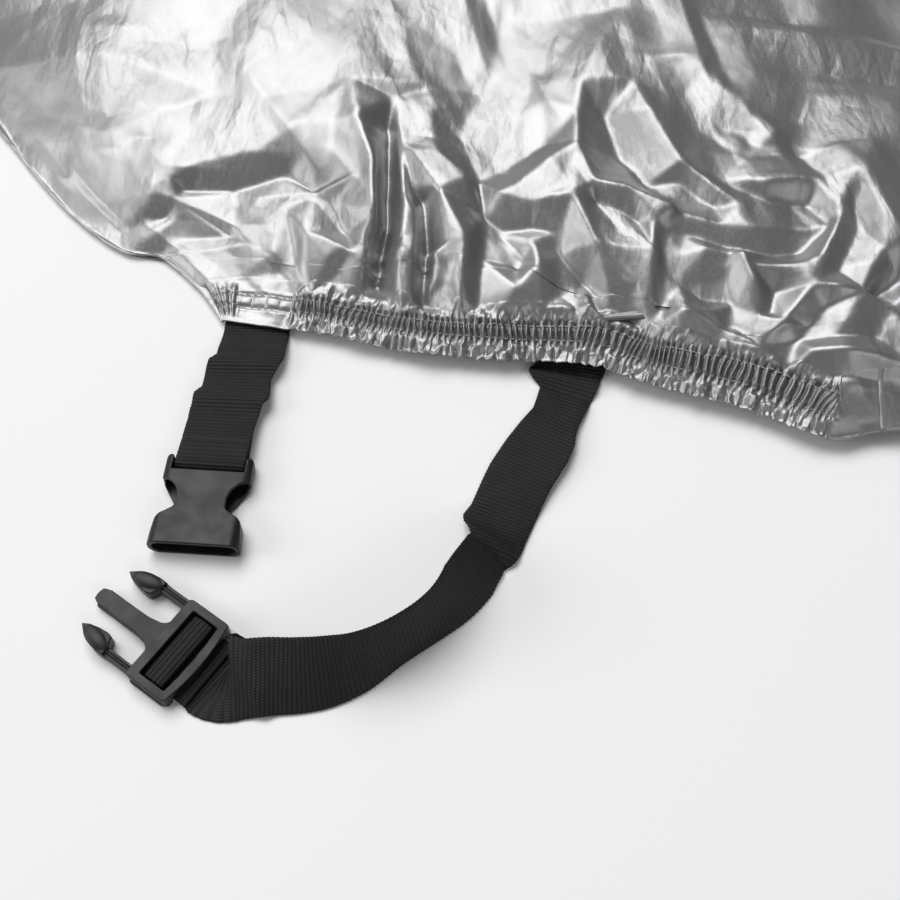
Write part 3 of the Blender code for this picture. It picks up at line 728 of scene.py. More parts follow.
def hemPlaces(s, t):
    # shares along and up the panel of the places t in from the hem, square to it
    u = s / hemLength
    edge = alongCurve(hemLine, u)[..., :2]
    ahead = alongCurve(hemLine, np.minimum(u + 0.002, 1))[..., :2]
    run = ahead - alongCurve(hemLine, np.maximum(u - 0.002, 0))[..., :2]
    run /= np.linalg.norm(run, axis=-1, keepdims=True)
    inward = np.stack((-run[..., 1], run[..., 0]), -1)
    front = np.array((-0.42, 0.91))
    atFront = (1 - smoothStep(s, 0, 9 * mm))[..., None]
    inward = inward * (1 - atFront) + front * atFront
    back = np.array(rearLine[1]) - np.array(rearLine[0])
    atBack = smoothStep(s, hemLength - 20 * mm, hemLength)[..., None]
    inward = inward * (1 - atBack) + back / np.linalg.norm(back) * atBack
    inward /= np.linalg.norm(inward, axis=-1, keepdims=True)
    target = edge + inward * np.maximum(t, 0)[..., None]
    v = np.maximum(t, 0) * 1.2
    step = 0.001
    most = 0.05 + 0.35 * smoothStep(s, 1.25, 1.4)
    # both shares move, a little at a time, until their place on the panel is the target
    for _ in range(14):
        here = panelPlan(u, v)
        alongU = (panelPlan(u + step, v) - here) / step
        alongV = (panelPlan(u, v + step) - here) / step
        miss = target - here
        size = alongU[..., 0] * alongV[..., 1] - alongU[..., 1] * alongV[..., 0]
        moreU = (miss[..., 0] * alongV[..., 1] - miss[..., 1] * alongV[..., 0]) / size
        moreV = (alongU[..., 0] * miss[..., 1] - alongU[..., 1] * miss[..., 0]) / size
        u = np.clip(u + np.clip(moreU, -0.01, 0.01), 0, 1)
        v = np.clip(v + np.clip(moreV, -0.02, 0.02), 0, most)
    print("hem places found, furthest out, mm:", round(float(np.abs(miss).max()) / mm, 2))
    return u, v, inward


def makeUpperPanel():
    settings = upperPanel
    u = graded(*settings["columns"])
    v = graded(*settings["rows"])
    points = settledPanel(u, v)
    flat = panelPlan(*np.meshgrid(u, v, indexing="ij"))
    tucked = points.copy()
    fromHem = distanceTo(hemLine, flat[..., 0], flat[..., 1])
    tucked[..., 2] -= hem["sunk"] * (1 - smoothStep(fromHem, 0.62 * hem["covers"], 0.8 * hem["covers"]))
    shown = hem["hiddenRows"]
    piece = clothGrid("cover_upper_panel", tucked[:, shown:], flat[:, shown:])
    return piece, points, u, v


def unevenRows(start, end, pitch, seed, jitter=0.25):
    # places of crests along the hem, unevenly spaced, and how high each stands
    rng = np.random.default_rng(seed)
    count = max(2, round((end - start) / pitch))
    steps = 1 + jitter * rng.uniform(-1, 1, count)
    places = start + np.concatenate(([0], np.cumsum(steps))) / steps.sum() * (end - start)
    return places, rng.uniform(0.65, 1.15, count + 1)


def ridges(s, places, heights, narrow):
    # height of narrow crests with wide valleys between them
    k = np.clip(np.searchsorted(places, s), 1, len(places) - 1)
    before = places[k - 1]
    along = (s - before) / (places[k] - before)
    low = heights[k - 1] * np.exp(-((along / narrow) ** 2))
    high = heights[k] * np.exp(-(((1 - along) / narrow) ** 2))
    return low + high


def puffs(s, places, heights):
    # rounded puffs with sharp creases between them, from 0 up to their heights
    k = np.clip(np.searchsorted(places, s), 1, len(places) - 1)
    before = places[k - 1]
    along = np.clip((s - before) / (places[k] - before), 0, 1)
    return heights[k] * np.sqrt(np.clip(1 - (2 * along - 1) ** 2, 0.0, 1))


def nearRow(t, row, reach):
    # 1 on the row, and dying away on either side of it
    return np.exp(-(((t - row) / reach) ** 2))


def upperRow(s):
    rows = np.array(hem["upperRows"]) * mm
    return np.interp(s, rows[:, 0], rows[:, 1])


def hiddenHem(s):
    # behind the elastic's end the hem lies smooth for a while, without its stitches
    starts = smoothStep(s, hem["gathersTo"] + 2 * mm, hem["gathersTo"] + 12 * mm)
    return starts * (1 - smoothStep(s, 300 * mm, 340 * mm))


def hemRelief(s, t, gathers):
    # how high the hem stands over the panel, how far it hangs past its drawn edge, and how much painted shade
    # darkens its colour
    lower, upper, covers = hem["lowerRow"], upperRow(s), hem["covers"]
    start, end, seed, pitch = gathers["from"], gathers["to"], gathers["seed"], gathers["pitch"]
    reach = (start - 30 * mm, end + 60 * mm)
    gathered = smoothStep(s, start - 2 * mm, start + 3 * mm)
    gathered = gathered * (1 - smoothStep(s, end - 6 * mm, end + 12 * mm))
    sway = 0.5 * mm * np.sin(s / (9 * mm) + 2.1 * np.sin(s / (31 * mm))) * (t - lower) / lower
    fan = smoothStep(s, end - 14 * mm, end + 14 * mm) * np.maximum(t - lower, 0) * 0.8
    wobble = 0.25 * mm * np.sin(t / (1.7 * mm) + s / (2.9 * mm))
    fine = ridges(s - sway - fan + wobble, *unevenRows(*reach, pitch, seed), 0.2)
    skirt = puffs(s + 2 * sway + wobble, *unevenRows(*reach, 1.9 * pitch, seed + 1, 0.55))
    skirtFine = ridges(s - 3 * sway, *unevenRows(*reach, 1.3 * pitch, seed + 2, 0.5), 0.22)
    over = puffs(s - 2 * sway - 1.5 * fan, *unevenRows(*reach, 2.6 * pitch, seed + 3, 0.8))
    over *= 0.35 + 0.65 * nearestSquared(s, 0 * s, 11 * mm, seed + 8).clip(0, 1)
    crisp = facets(s + 3 * sway, t / 1.5, 3.2 * mm, seed + 6)
    below = 1 - smoothStep(t, lower - 2.2 * mm, lower)
    above = smoothStep(t, upper, upper + 2.5 * mm)
    between = 1 - np.maximum(below, above)
    pinch = 1 - 0.7 * nearRow(t, lower, 0.55 * mm) - 0.7 * nearRow(t, upper, 0.55 * mm)
    casing = 0.7 * smoothStep(t, lower - 0.2 * mm, lower + 1.6 * mm)
    casing = casing * (1 - smoothStep(t, upper - 1.6 * mm, upper + 0.2 * mm))
    relief = between * (1.5 * fine + casing) * pinch
    frill = 1.3 * skirt + 0.5 * skirtFine + 1.9 * crisp
    relief += below * frill * (0.35 + 0.65 * smoothStep(lower - t, 0, 3 * mm))
    fade = 1 - smoothStep(t, upper + 1.5 * mm, covers - 2.5 * mm)
    low = 1 - smoothStep(t, upper + 1.5 * mm, upper + 6 * mm)
    relief += above * (1.7 * over * low + 1.4 * crisp + 0.25 * fine * low) * fade
    hangs = below * (1.5 * skirt + 0.5 * skirtFine - 0.5)
    # where there is no elastic, the rows of stitches press the cloth between low square puffs
    flatPart = 1 - gathered
    squares = puffs(s, *unevenRows(-60 * mm, hemLength + 60 * mm, 4.6 * mm, seed + 4, 0.2))
    plain = 0.7 * squares * between * (1 - nearRow(t, lower, 1.1 * mm)) * (1 - nearRow(t, upper, 1.1 * mm))
    plain -= 0.35 * (nearRow(t, lower, 0.7 * mm) + nearRow(t, upper, 0.7 * mm))
    plain += 0.25 * facets(s, t, 6 * mm, seed + 7) * (1 - between)
    plain *= 1 - hiddenHem(s)
    relief = relief * gathered + plain * flatPart * fade
    # where the hem begins it is drawn into a bunch of upright pleats
    if gathers.get("bunch"):
        bunched = ridges(s, *unevenRows(-1.2 * mm, gathers["bunch"] + 2 * mm, 1.45 * mm, seed + 5), 0.3)
        inBunch = 1 - smoothStep(s, gathers["bunch"] - 1 * mm, gathers["bunch"] + mm)
        pleats = (1.5 * bunched + 0.8 * crisp) * inBunch
        relief += pleats * smoothStep(t, 1.5 * mm, 6 * mm) * (1 - smoothStep(t, 11 * mm, 20 * mm))
    # painted shade: the colour is darkened between the gathers and in the creases between the skirt's puffs,
    # and a painted shadow lies just above the upper row, under the overhanging puffs
    gapShadeMask = between * np.clip(1 - 1.6 * fine, 0, 1)
    gapShadeMask = gapShadeMask + 0.7 * below * np.clip(1 - 1.8 * skirt, 0, 1) * smoothStep(t, 0, 3 * mm)
    under = 0.7 * nearRow(t, upper + 1.4 * mm, 0.7 * mm) * np.clip(over + 0.3, 0, 1)
    paintedShade = np.clip(gapShadeMask + under, 0, 1) * gathered
    return relief * mm, hangs * gathered * mm, paintedShade


def makeHem(name, sRange, columns, rows, gathers, panelPoints, u, v):
    s = np.linspace(*sRange, columns)[:, None]
    # the last two rows turn down under the panel
    covered = hem["covers"] * np.linspace(0, 1, rows - 2)
    turned = hem["covers"] + np.array((0.1, 0.5)) * mm
    s, t = np.broadcast_arrays(s, np.concatenate((covered, turned))[None, :])
    relief, hangs, paintedShade = hemRelief(s, t, gathers)
    moved = t - hangs
    atU, atV, inward = hemPlaces(s, moved)
    points = surfaceAt(panelPoints, u, v, atU, atV)
    points[..., :2] += inward * np.minimum(moved, 0)[..., None]
    # its upper edge dips under the panel
    points[..., 2] += relief + 0.1 * mm - hem["dip"] * smoothStep(t, 0.8 * hem["covers"], hem["covers"])
    points[:, -1, 2] -= hem["tuck"]
    points[..., 2] = np.maximum(points[..., 2], 2.3 * mm)
    piece = clothGrid(name, points, np.stack((s, t), -1), paintedShade)
    wall = piece.modifiers.new("cloth", "SOLIDIFY")
    wall.thickness = hem["cloth"]
    wall.offset = -1
    return piece, points


def stitchRows(name, rows, thick):
    # threads as long rounded beads, from the points where they start and end
    bead = bmesh.new()
    bmesh.ops.create_uvsphere(bead, u_segments=6, v_segments=6, radius=1)
    # its faces come in another order each run, so they are put in one, by their corners
    bead.verts.index_update()
    bead.faces.sort(key=lambda face: sum(2.0**vert.index for vert in face.verts))
    single = bpy.data.meshes.new(name + "_single")
    bead.to_mesh(single)
    bead.free()
    bm = bmesh.new()
    for starts, ends in rows:
        for start, end in zip(starts, ends):
            run = end - start
            turn = Vector(run).to_track_quat("X", "Z").to_matrix().to_4x4()
            size = Matrix.Diagonal((0.5 * np.linalg.norm(run), 0.5 * thick, 0.42 * thick, 1))
            placed = single.copy()
            placed.transform(Matrix.Translation(Vector(0.5 * (start + end) + drawingStart)) @ turn @ size)
            bm.from_mesh(placed)
            bpy.data.meshes.remove(placed)
    mesh = bpy.data.meshes.new(name)
    bm.to_mesh(mesh)
    bm.free()
    mesh.shade_smooth()
    return linkMesh(name, mesh)


def hemStitches(points, sRange, pitch, seed):
    # both rows of the hem, each stitch lying over the cloth between its two needle holes
    rng = np.random.default_rng(seed)
    columns, rows = points.shape[:2]
    length = sRange[1] - sRange[0]
    made = []
    for row, slant in ((lambda s: hem["lowerRow"] + 0 * s, 0.25), (upperRow, -0.2)):
        count = int(length / pitch)
        places = sRange[0] + (np.arange(count) + 0.5 + rng.uniform(-0.12, 0.12, count)) * pitch
        places = places[hiddenHem(places) < 0.3]
        j = np.rint(row(places) / hem["covers"] * (rows - 3)).astype(int)
        i = np.rint((places - sRange[0]) / length * (columns - 1)).astype(int)
        i = np.clip(i, 0, columns - 1)
        half = max(1, int(0.4 * pitch / length * (columns - 1)))
        a = points[np.maximum(i - half, 0), j].copy()
        b = points[np.minimum(i + half, columns - 1), j].copy()
        top = np.maximum(np.maximum(a[:, 2], b[:, 2]), points[i, j, 2]) + 0.12 * mm
        a[:, 2] = 0.35 * a[:, 2] + 0.65 * top
        b[:, 2] = 0.35 * b[:, 2] + 0.65 * top
        a[:, 1] -= slant * mm
        b[:, 1] += slant * mm
        made.append((a, b))
    return made


seam = {
    "width": 3.2 * mm,
    "thick": 1.0 * mm,
    "step": 1.6 * mm,
    "height": 2.2 * mm,
}


def seamCourse():
    # once round the sewn edges, from the front of the hem to its rear
    parts = [np.array(frontLine), np.array(topLine)[1:], np.array(rearLine)[::-1][1:]]
    return np.concatenate(parts)


def makeSeam():
    course = seamCourse()
    length = np.linalg.norm(np.diff(course, axis=0), axis=1).sum()
    count = int(length / seam["step"])
    t = np.linspace(0, 1, count + 1)
    middle = alongCurve(course, t)
    run = np.gradient(middle, axis=0)
    run /= np.linalg.norm(run, axis=1, keepdims=True)
    inward = np.stack((run[:, 1], -run[:, 0]), -1)
    rng = np.random.default_rng(61)
    waves = np.zeros(count + 1)
    for wave, high in ((90, 0.35), (31, 0.3), (11, 0.22), (4.5, 0.12)):
        waves += high * np.sin(t * length / (wave * mm) * 2 * math.pi + rng.uniform(0, 6))
    around = 12
    angle = np.arange(around + 1) * 2 * math.pi / around
    wide = 0.5 * seam["width"] * np.sign(np.cos(angle)) * np.abs(np.cos(angle)) ** 0.6
    deep = 0.5 * seam["thick"] * np.sin(angle)
    points = np.empty((count + 1, around + 1, 3))
    aside = wide[None, :] + 0.9 * mm + 0.3 * mm * waves[:, None]
    points[..., :2] = middle[:, None] + inward[:, None] * aside[..., None]
    points[..., 2] = seam["height"] + deep[None, :] + 0.35 * mm * waves[:, None]
    points[..., 2] = np.maximum(points[..., 2], 0.2 * mm)
    s = np.broadcast_to((t * length)[:, None], points.shape[:2])
    # its own place on the cloth's map, clear of the panels'
    flat = np.stack((s, 3 + angle[None, :] * 0.3 * seam["width"] + 0 * s), -1)
    return clothGrid("seam_strip", points, flat)


lowerPanel = {
    "columns": (150, 70, 0.2),
    "rows": (100, 50, 0.2),
    "setBack": (-0.011, 0.015),  # of its hem's front end from the upper one's, m
    "height": 0.75 * mm,
    "waves": 0.35 * mm,
    "cloth": 0.35 * mm,
}


def makeLowerPanel():
    settings = lowerPanel
    u = graded(*settings["columns"])
    v = graded(*settings["rows"])
    share = np.linspace(1, 0, len(hemLine))
    backX, backY = settings["setBack"]
    inset = [(x + k * backX, y + k * backY) for (x, y, _), k in zip(hemLine, share)]
    plan = panelPlan(*np.meshgrid(u, v, indexing="ij"), inset, frontLine[1:])
    waves = facets(plan[..., 0], plan[..., 1] / 1.8, 60 * mm, 71)
    waves += 0.5 * facets(plan[..., 0], plan[..., 1], 22 * mm, 73)
    height = settings["height"] + settings["waves"] * np.clip(waves, -1, 1)
    panel = clothGrid("cover_lower_panel", np.concatenate((plan, height[..., None]), -1), plan)
    wall = panel.modifiers.new("cloth", "SOLIDIFY")
    wall.thickness = settings["cloth"]
    wall.offset = 0
    return panel


# the routes of the webbing are repeated from the CAD source
webbing = {
    "width": 25.0,  # mm, as in all that follows here
    "thick": 1.2,
    "ribPitch": 1.46,
    "ribHeight": 0.17,
    "ragged": 0.22,  # how far the edge goes in and out at each rib
    "floor": 0.05,
    "threadPitch": 0.9,
}
longEdges = (  # distance, and how far the inner and the outer edge stand out or in where it folds
    (0, 0, 0),
    (33, 1.5, 0),
    (36, 3.0, -1),
    (39.5, 3.2, -1.5),
    (42.5, 1.0, -2),
    (45, -2.6, -2.5),
    (56, -3.7, -2.8),
    (61, -2.7, -1.6),
    (64, -2.2, -0.3),
    (72, -1.2, 0.6),
    (84, -0.6, -0.2),
    (101, -1.2, -0.6),
    (106, -0.2, -0.8),
    (109, -1.2, -1),
    (114, -5, -1),
    (118, -4.2, -1.2),
    (121, -3.8, -2),
    (126, -2.6, -1),
    (131, -1.2, 0.2),
    (138, 0.4, 0),
    (150, 0, 0),
    (206, 0, 0),
    (218, 0.6, 0),
    (224, 3.6, 0.5),
    (229, 3.4, 0.5),
    (231.5, 0, 0),
)
shortEdges = (
    (0, 0, 0),
    (20, 0, 0.5),
    (23.5, -0.6, 1.2),
    (26, 1.3, 1.3),
    (29, 1, 1),
    (34, 0, 0),
    (39, -0.6, 1),
    (42, 1.2, 1.8),
    (44, 1, 2),
    (46, 0.6, 0.5),
    (52, 0, 0.3),
    (60, 0, 0),
)
longRoute = (  # x, y and the angle at which the inner edge is raised
    (132.0, -22, 0),
    (130.4, -29, 0),
    (126.0, -40, -4),
    (119.0, -53, -6),
    (110.0, -70, -4),
    (103.5, -85, 4),
    (100.6, -94, 18),
    (97.0, -102.2, 42),
    (90.2, -115.2, 60),
    (81.2, -124.8, 71),
    (68.6, -133.8, 72),
    (57.6, -139.8, 60),
    (47.2, -142.2, 44),
    (37.9, -142.8, 34),
    (28.5, -142.7, 27),
    (16.5, -143.3, 12),
)
shortRoute = (  # x, y and height
    (13.4, 6, 0.65),
    (13.2, 0, 0.65),
    (12.9, -6, 1.0),
    (12.3, -13, 3.4),
    (10.4, -20, 3.9),
    (8.8, -25, 3.3),
    (7.6, -31, 4.3),
    (6.2, -37, 4.7),
    (5.0, -42, 4.1),
    (4.1, -48, 4.6),
    (3.4, -55, 5.4),
)
socketAt = {
    "place": (2.2, -61.2),
    "heading": math.radians(-94),
    "bar": (2.4, 3.2),  # along from its strap end, and up
    "barRadius": 1.3,
}
prongsAt = {
    "place": (5.65, -138.35),
    "heading": math.radians(144.5),
    "barFrom": 7.0,
    "barTo": 9.8,
    "barHigh": 4.0,
    "tailEnd": -4.5,  # where the webbing's end lies, back from its strap end
}


def buckleAxes(half):
    # place of the strap end, and the directions along and across it
    turn = half["heading"]
    along = np.array((math.cos(turn), math.sin(turn), 0))
    across = np.array((math.sin(turn), -math.cos(turn), 0))
    return np.array((*half["place"], 0)), along, across


def bendPoints(centre, radius, start, end, steps):
    # arc in the upright plane, as distances along and heights
    angles = np.radians(np.linspace(start, end, steps + 1))
    return [(centre[0] + radius * math.cos(a), centre[1] + radius * math.sin(a)) for a in angles]


def longStations():
    # middle and direction across, in six columns
    start, along, across = buckleAxes(prongsAt)
    half = webbing["thick"] / 2
    floor = half + webbing["floor"]
    rows = [(133.0, y, 1.5 + 0.36 + half, -1, 0, 0) for y in (12.0, 2.0, -15.0)]
    count = 60
    t = np.linspace(0, 1, count + 1)
    places = alongCurve(longRoute, t)
    ahead = alongCurve(longRoute, np.minimum(1, t + 0.5 / count))
    step = ahead - alongCurve(longRoute, np.maximum(0, t - 0.5 / count))
    heading = np.arctan2(step[:, 1], step[:, 0])
    for (x, y, tilt), turn in zip(places, heading):
        lean = math.radians(tilt)
        rise = webbing["width"] / 2 * abs(math.sin(lean)) + half * math.cos(lean) + webbing["floor"]
        flat = (math.sin(turn) * math.cos(lean), -math.cos(turn) * math.cos(lean), math.sin(lean))
        rows.append((x, y, rise, *flat))
    clear = half + 0.39
    turnAt = prongsAt["barTo"] + clear + 1.3
    backAt = prongsAt["barFrom"] - clear - 1.4
    over = prongsAt["barHigh"] + clear
    tail = floor + 2 * half + 0.3
    foot = half + 0.4
    top = half + 0.9
    path = [(y, floor) for y in (-8.0, -4.5, 0.0, 4.0, 7.5)]
    path += bendPoints((turnAt - foot, floor + foot), foot, -90, 0, 4)
    path += bendPoints((turnAt - top, over - top), top, 0, 90, 5)
    path += bendPoints((backAt + top, over - top), top, 90, 180, 5)
    path += bendPoints((backAt - foot, tail + foot), foot, 0, -90, 4)
    path += [(2.5, tail), (prongsAt["tailEnd"], tail)]
    for y, z in path:
        rows.append((*(start + along * y + np.array((0, 0, z))), *across))
    return rows


def shortStations():
    # the same for the short strap, which turns back round the socket half's bar
    start, along, across = buckleAxes(socketAt)
    half = webbing["thick"] / 2
    radius = socketAt["barRadius"] + 0.36 + half
    barY, barZ = socketAt["bar"]
    rows = []
    t = np.linspace(0, 1, 35)
    for share, place in zip(t, alongCurve(shortRoute, t, 3)):
        side = (1 - share) * np.array((-1.0, 0, 0)) + share * across
        rows.append((*place, *(side / np.linalg.norm(side))))
    for y, z in bendPoints((barY, barZ), radius, 90, -90, 10):
        rows.append((*(start + along * y + np.array((0, 0, z))), *across))
    floor = half + webbing["floor"]
    for share in np.linspace(0, 1, 9)[1:]:
        z = floor + (barZ - radius - floor) * max(0, 1 - 4 * share)
        rows.append((*(start + along * (barY - 25 * share) + np.array((0, 0, z))), *across))
    return rows


def makeTape(name, stations, edges, shape):
    # a flat loop of points swept along the stations, with the cross ribs of the weave
    knots = np.array(stations, float)
    total = np.linalg.norm(np.diff(knots[:, :3], axis=0), axis=1).sum()
    count = int(total / (webbing["ribPitch"] / 5))
    t = np.linspace(0, 1, count + 1)
    places = alongCurve(knots, t, 3)
    middle = places[:, :3]
    across = places[:, 3:] / np.linalg.norm(places[:, 3:], axis=1, keepdims=True)
    along = np.gradient(middle, axis=0)
    along /= np.linalg.norm(along, axis=1, keepdims=True)
    facing = np.cross(across, along)
    facing /= np.linalg.norm(facing, axis=1, keepdims=True)
    facing *= -1 if facing[0, 2] < 0 else 1
    distance = t * total
    around = 40
    angle = np.arange(around + 1) * 2 * math.pi / around
    wide = np.sign(np.cos(angle)) * np.abs(np.cos(angle)) ** 0.42 * 0.5
    deep = np.sign(np.sin(angle)) * np.abs(np.sin(angle)) ** 0.5 * 0.5
    wide[-1], deep[-1] = wide[0], deep[0]
    rib = np.abs(np.sin(math.pi * distance / webbing["ribPitch"])) ** 0.7
    width = webbing["width"] - webbing["ragged"] * 2 * (1 - rib)
    edgeRows = np.array(edges, float)
    inner = np.interp(distance, edgeRows[:, 0], edgeRows[:, 1])
    outer = np.interp(distance, edgeRows[:, 0], edgeRows[:, 2])
    thick = webbing["thick"] + 2 * webbing["ribHeight"] * (rib - 1)
    x = wide[:, None] * width[None, :]
    x = x + np.where(x > 0, inner, -outer) * np.abs(2 * wide[:, None]) ** 1.5
    lift = shape(distance[None, :], x) + deep[:, None] * thick[None, :]
    points = (middle[None] + across[None] * x[..., None] + facing[None] * lift[..., None]) * mm
    points[..., 2] = np.maximum(points[..., 2], 0.05 * mm)
    flat = np.stack(np.broadcast_arrays(distance[None, :] * mm, wide[:, None] * webbing["width"] * mm), -1)
    tape = clothGrid(name, points, flat)
    bm = bmesh.new()
    bm.from_mesh(tape.data)
    bmesh.ops.remove_doubles(bm, verts=bm.verts, dist=0.000002)
    bmesh.ops.holes_fill(bm, edges=[edge for edge in bm.edges if edge.is_boundary], sides=0)
    bmesh.ops.recalc_face_normals(bm, faces=bm.faces)
    bm.to_mesh(tape.data)
    bm.free()
    return tape, total


def longShape(distance, x):
    # a roll across it under the hem, a crease down from that, and the fold where it turns on edge
    roll = 1.5 * nearRow(distance, 39.5, 3.4) - 0.5 * nearRow(distance, 45.5, 1.4)
    crease = -0.9 * nearRow(x, 1 - 0.5 * (distance - 46), 1.8) * nearRow(distance, 53, 8)
    past = distance - (116 - 0.3 * x)
    fold = 0.9 * nearRow(past, -2.6, 2.4) - 0.9 * nearRow(past, 1.4, 1.7)
    wave = 0.25 * np.sin(distance / 9) * np.sin(x / 6 + distance / 17)
    # the fold beside the buckle, where the webbing comes up from under the frame
    bend = 1.2 * nearRow(distance - 0.5 * x, 217, 3.0)
    return roll + crease + fold + bend + wave * (1 - smoothStep(distance, 205, 222))


def shortShape(distance, x):
    # two slanting folds, and a slight wave
    slant = distance + 0.12 * x
    folds = 0.6 * nearRow(slant, 27, 3.6) - 0.3 * nearRow(slant, 23, 2.6)
    folds += 0.5 * nearRow(slant, 43, 3.6) - 0.3 * nearRow(slant, 39, 2.6)
    return folds * (1 - 0.3 * np.sin(x / 8))


def buckleSpace(half):
    # turns the drawing's metres to a buckle half's own, with +Y along it
    turn = half["heading"] - math.pi / 2
    place = Vector(drawingStart) + Vector((*half["place"], 0)) * mm
    return Matrix.Translation(place) @ Matrix.Rotation(turn, 4, "Z")


def meshCopy(node):
    bm = bmesh.new()
    bm.from_mesh(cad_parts[node].data)
    bmesh.ops.remove_doubles(bm, verts=bm.verts, dist=0.000004)
    return bm


def addBlock(bm, low, high, taper=(1, 1)):
    # a block between two corners, in mm, with its top drawn in
    made = bmesh.ops.create_cube(bm, size=1)["verts"]
    size = Vector(high) - Vector(low)
    for vert in made:
        if vert.co.z > 0:
            vert.co.x *= taper[0]
            vert.co.y *= taper[1]
    bmesh.ops.scale(bm, vec=size * mm, verts=made)
    bmesh.ops.translate(bm, vec=(Vector(high) + Vector(low)) / 2 * mm, verts=made)
    return made


moulding = {
    "voxel": 0.26 * mm,
    "soften": 0.5,
    "rounds": 4,
}


def moulded(name, node, half, details=None):
    # the CAD solid with any details melted on, and every edge rounded as in a mould
    space = buckleSpace(half)
    bm = meshCopy(node)
    bmesh.ops.transform(bm, matrix=space.inverted(), verts=bm.verts)
    if details:
        details(bm)
    mesh = bpy.data.meshes.new(name)
    bm.to_mesh(mesh)
    bm.free()
    rough = linkMesh(name + "_rough", mesh)
    remesh = rough.modifiers.new("melt", "REMESH")
    remesh.mode = "VOXEL"
    remesh.voxel_size = moulding["voxel"]
    soften = rough.modifiers.new("round", "SMOOTH")
    soften.factor = moulding["soften"]
    soften.iterations = moulding["rounds"]
    graph = bpy.context.evaluated_depsgraph_get()
    graph.update()
    made = bpy.data.meshes.new_from_object(rough.evaluated_get(graph))
    bpy.data.objects.remove(rough)
    made.name = name
    made.transform(space)
    made.shade_smooth()
    made.materials.clear()
    return linkMesh(name, made)


def prongDetails(bm):
    for side in (-1, 1):
        # a raised pad on each head, stopped short towards the arm
        pad = bmesh.ops.create_uvsphere(bm, u_segments=28, v_segments=14, radius=1)["verts"]
        bmesh.ops.scale(bm, vec=Vector((2.9, 6.0, 1.3)) * mm, verts=pad)
        bmesh.ops.rotate(bm, matrix=Matrix.Rotation(side * 0.2, 3, "Z"), verts=pad)
        bmesh.ops.translate(bm, vec=Vector((side * 12.4, 33.2, 5.1)) * mm, verts=pad)
        # the arm's rounded ridge, the two lips down the frame's sides and those along the tongue
        addBlock(bm, (side * 13.7 - 0.7, 15, 3.6), (side * 13.7 + 0.7, 28, 5.0), (0.4, 1))
        addBlock(bm, (side * 15.5 - 1.1, 1.8, 0.3), (side * 15.5 + 1.1, 15.2, 2.9))
        addBlock(bm, (side * 3.05 - 0.45, 24, 0.9), (side * 3.05 + 0.45, 42.2, 2.6))


def newMaterial(name):
    finish = bpy.data.materials.new(name)
    finish.use_nodes = True
    return finish, finish.node_tree, finish.node_tree.nodes["Principled BSDF"]


def addNode(tree, kind, inputs=None, **settings):
    # a node with its own settings and its inputs' values or links, by name or place
    node = tree.nodes.new("ShaderNode" + kind)
    for key, value in settings.items():
        setattr(node, key, value)
    for key, value in (inputs or {}).items():
        if isinstance(value, bpy.types.NodeSocket):
            tree.links.new(value, node.inputs[key])
        else:
            node.inputs[key].default_value = value
    return node


def calculate(tree, operation, first, second=0.5):
    node = addNode(tree, "Math", operation=operation, inputs={0: first, 1: second})
    return node.outputs[0]


def noise(tree, place, scale, detail=2.0):
    return addNode(tree, "TexNoise", inputs={"Vector": place, "Scale": scale, "Detail": detail})


def grey(tree, tone, blue=1):
    # a colour of one tone, with a little more blue where that is over 1
    last = tone if blue == 1 else calculate(tree, "MULTIPLY", tone, blue)
    return addNode(tree, "CombineColor", inputs={0: tone, 1: tone, 2: last}).outputs[0]


def spread(tree, value, low, high, newLow=0.0, newHigh=1.0, smooth=True):
    # the value's range from low to high, stretched to the new one
    node = addNode(
        tree,
        "MapRange",
        interpolation_type="SMOOTHSTEP" if smooth else "LINEAR",
        inputs={"Value": value, "From Min": low, "From Max": high, "To Min": newLow, "To Max": newHigh},
    )
    return node.outputs["Result"]


def facetHeight(tree, place, size, height, turn, stretch):
    # flat facets with sharp creases, as in crumple, in metres
    squares = []
    for shift in (0.0, 0.41):
        laid = addNode(
            tree,
            "Mapping",
            inputs={
                "Vector": place,
                "Location": (shift, 2 * shift, 0),
                "Rotation": (0, 0, math.radians(turn)),
                "Scale": (1 / (size * mm), 1 / (size * stretch * mm), 1),
            },
        )
        cells = addNode(
            tree,
            "TexVoronoi",
            voronoi_dimensions="2D",
            inputs={"Vector": laid.outputs[0], "Scale": 1.0},
        )
        away = cells.outputs["Distance"]
        squares.append(calculate(tree, "MULTIPLY", away, away))
    return calculate(tree, "MULTIPLY", calculate(tree, "SUBTRACT", *squares), height * mm)


silverLook = {
    "colour": (0.35, 0.35, 0.355),
    "metal": 0.8,
    "roughness": (0.36, 0.46),
    "crinkles": (  # size, height, direction, how much longer than wide
        (13.0, 0.6, -55, 2.0),
        (5.5, 0.24, 30, 2.2),
        (2.4, 0.07, -20, 2.0),
    ),
    "threadPitch": 0.32 * mm,
    "threadHeight": 0.006 * mm,
    # painted shade: the dark colour that stands in for the shadow between the gathers and under the puffs
    "paintedGapShade": (0.10, 0.10, 0.103),  # between the gathers, where little light gets in
}


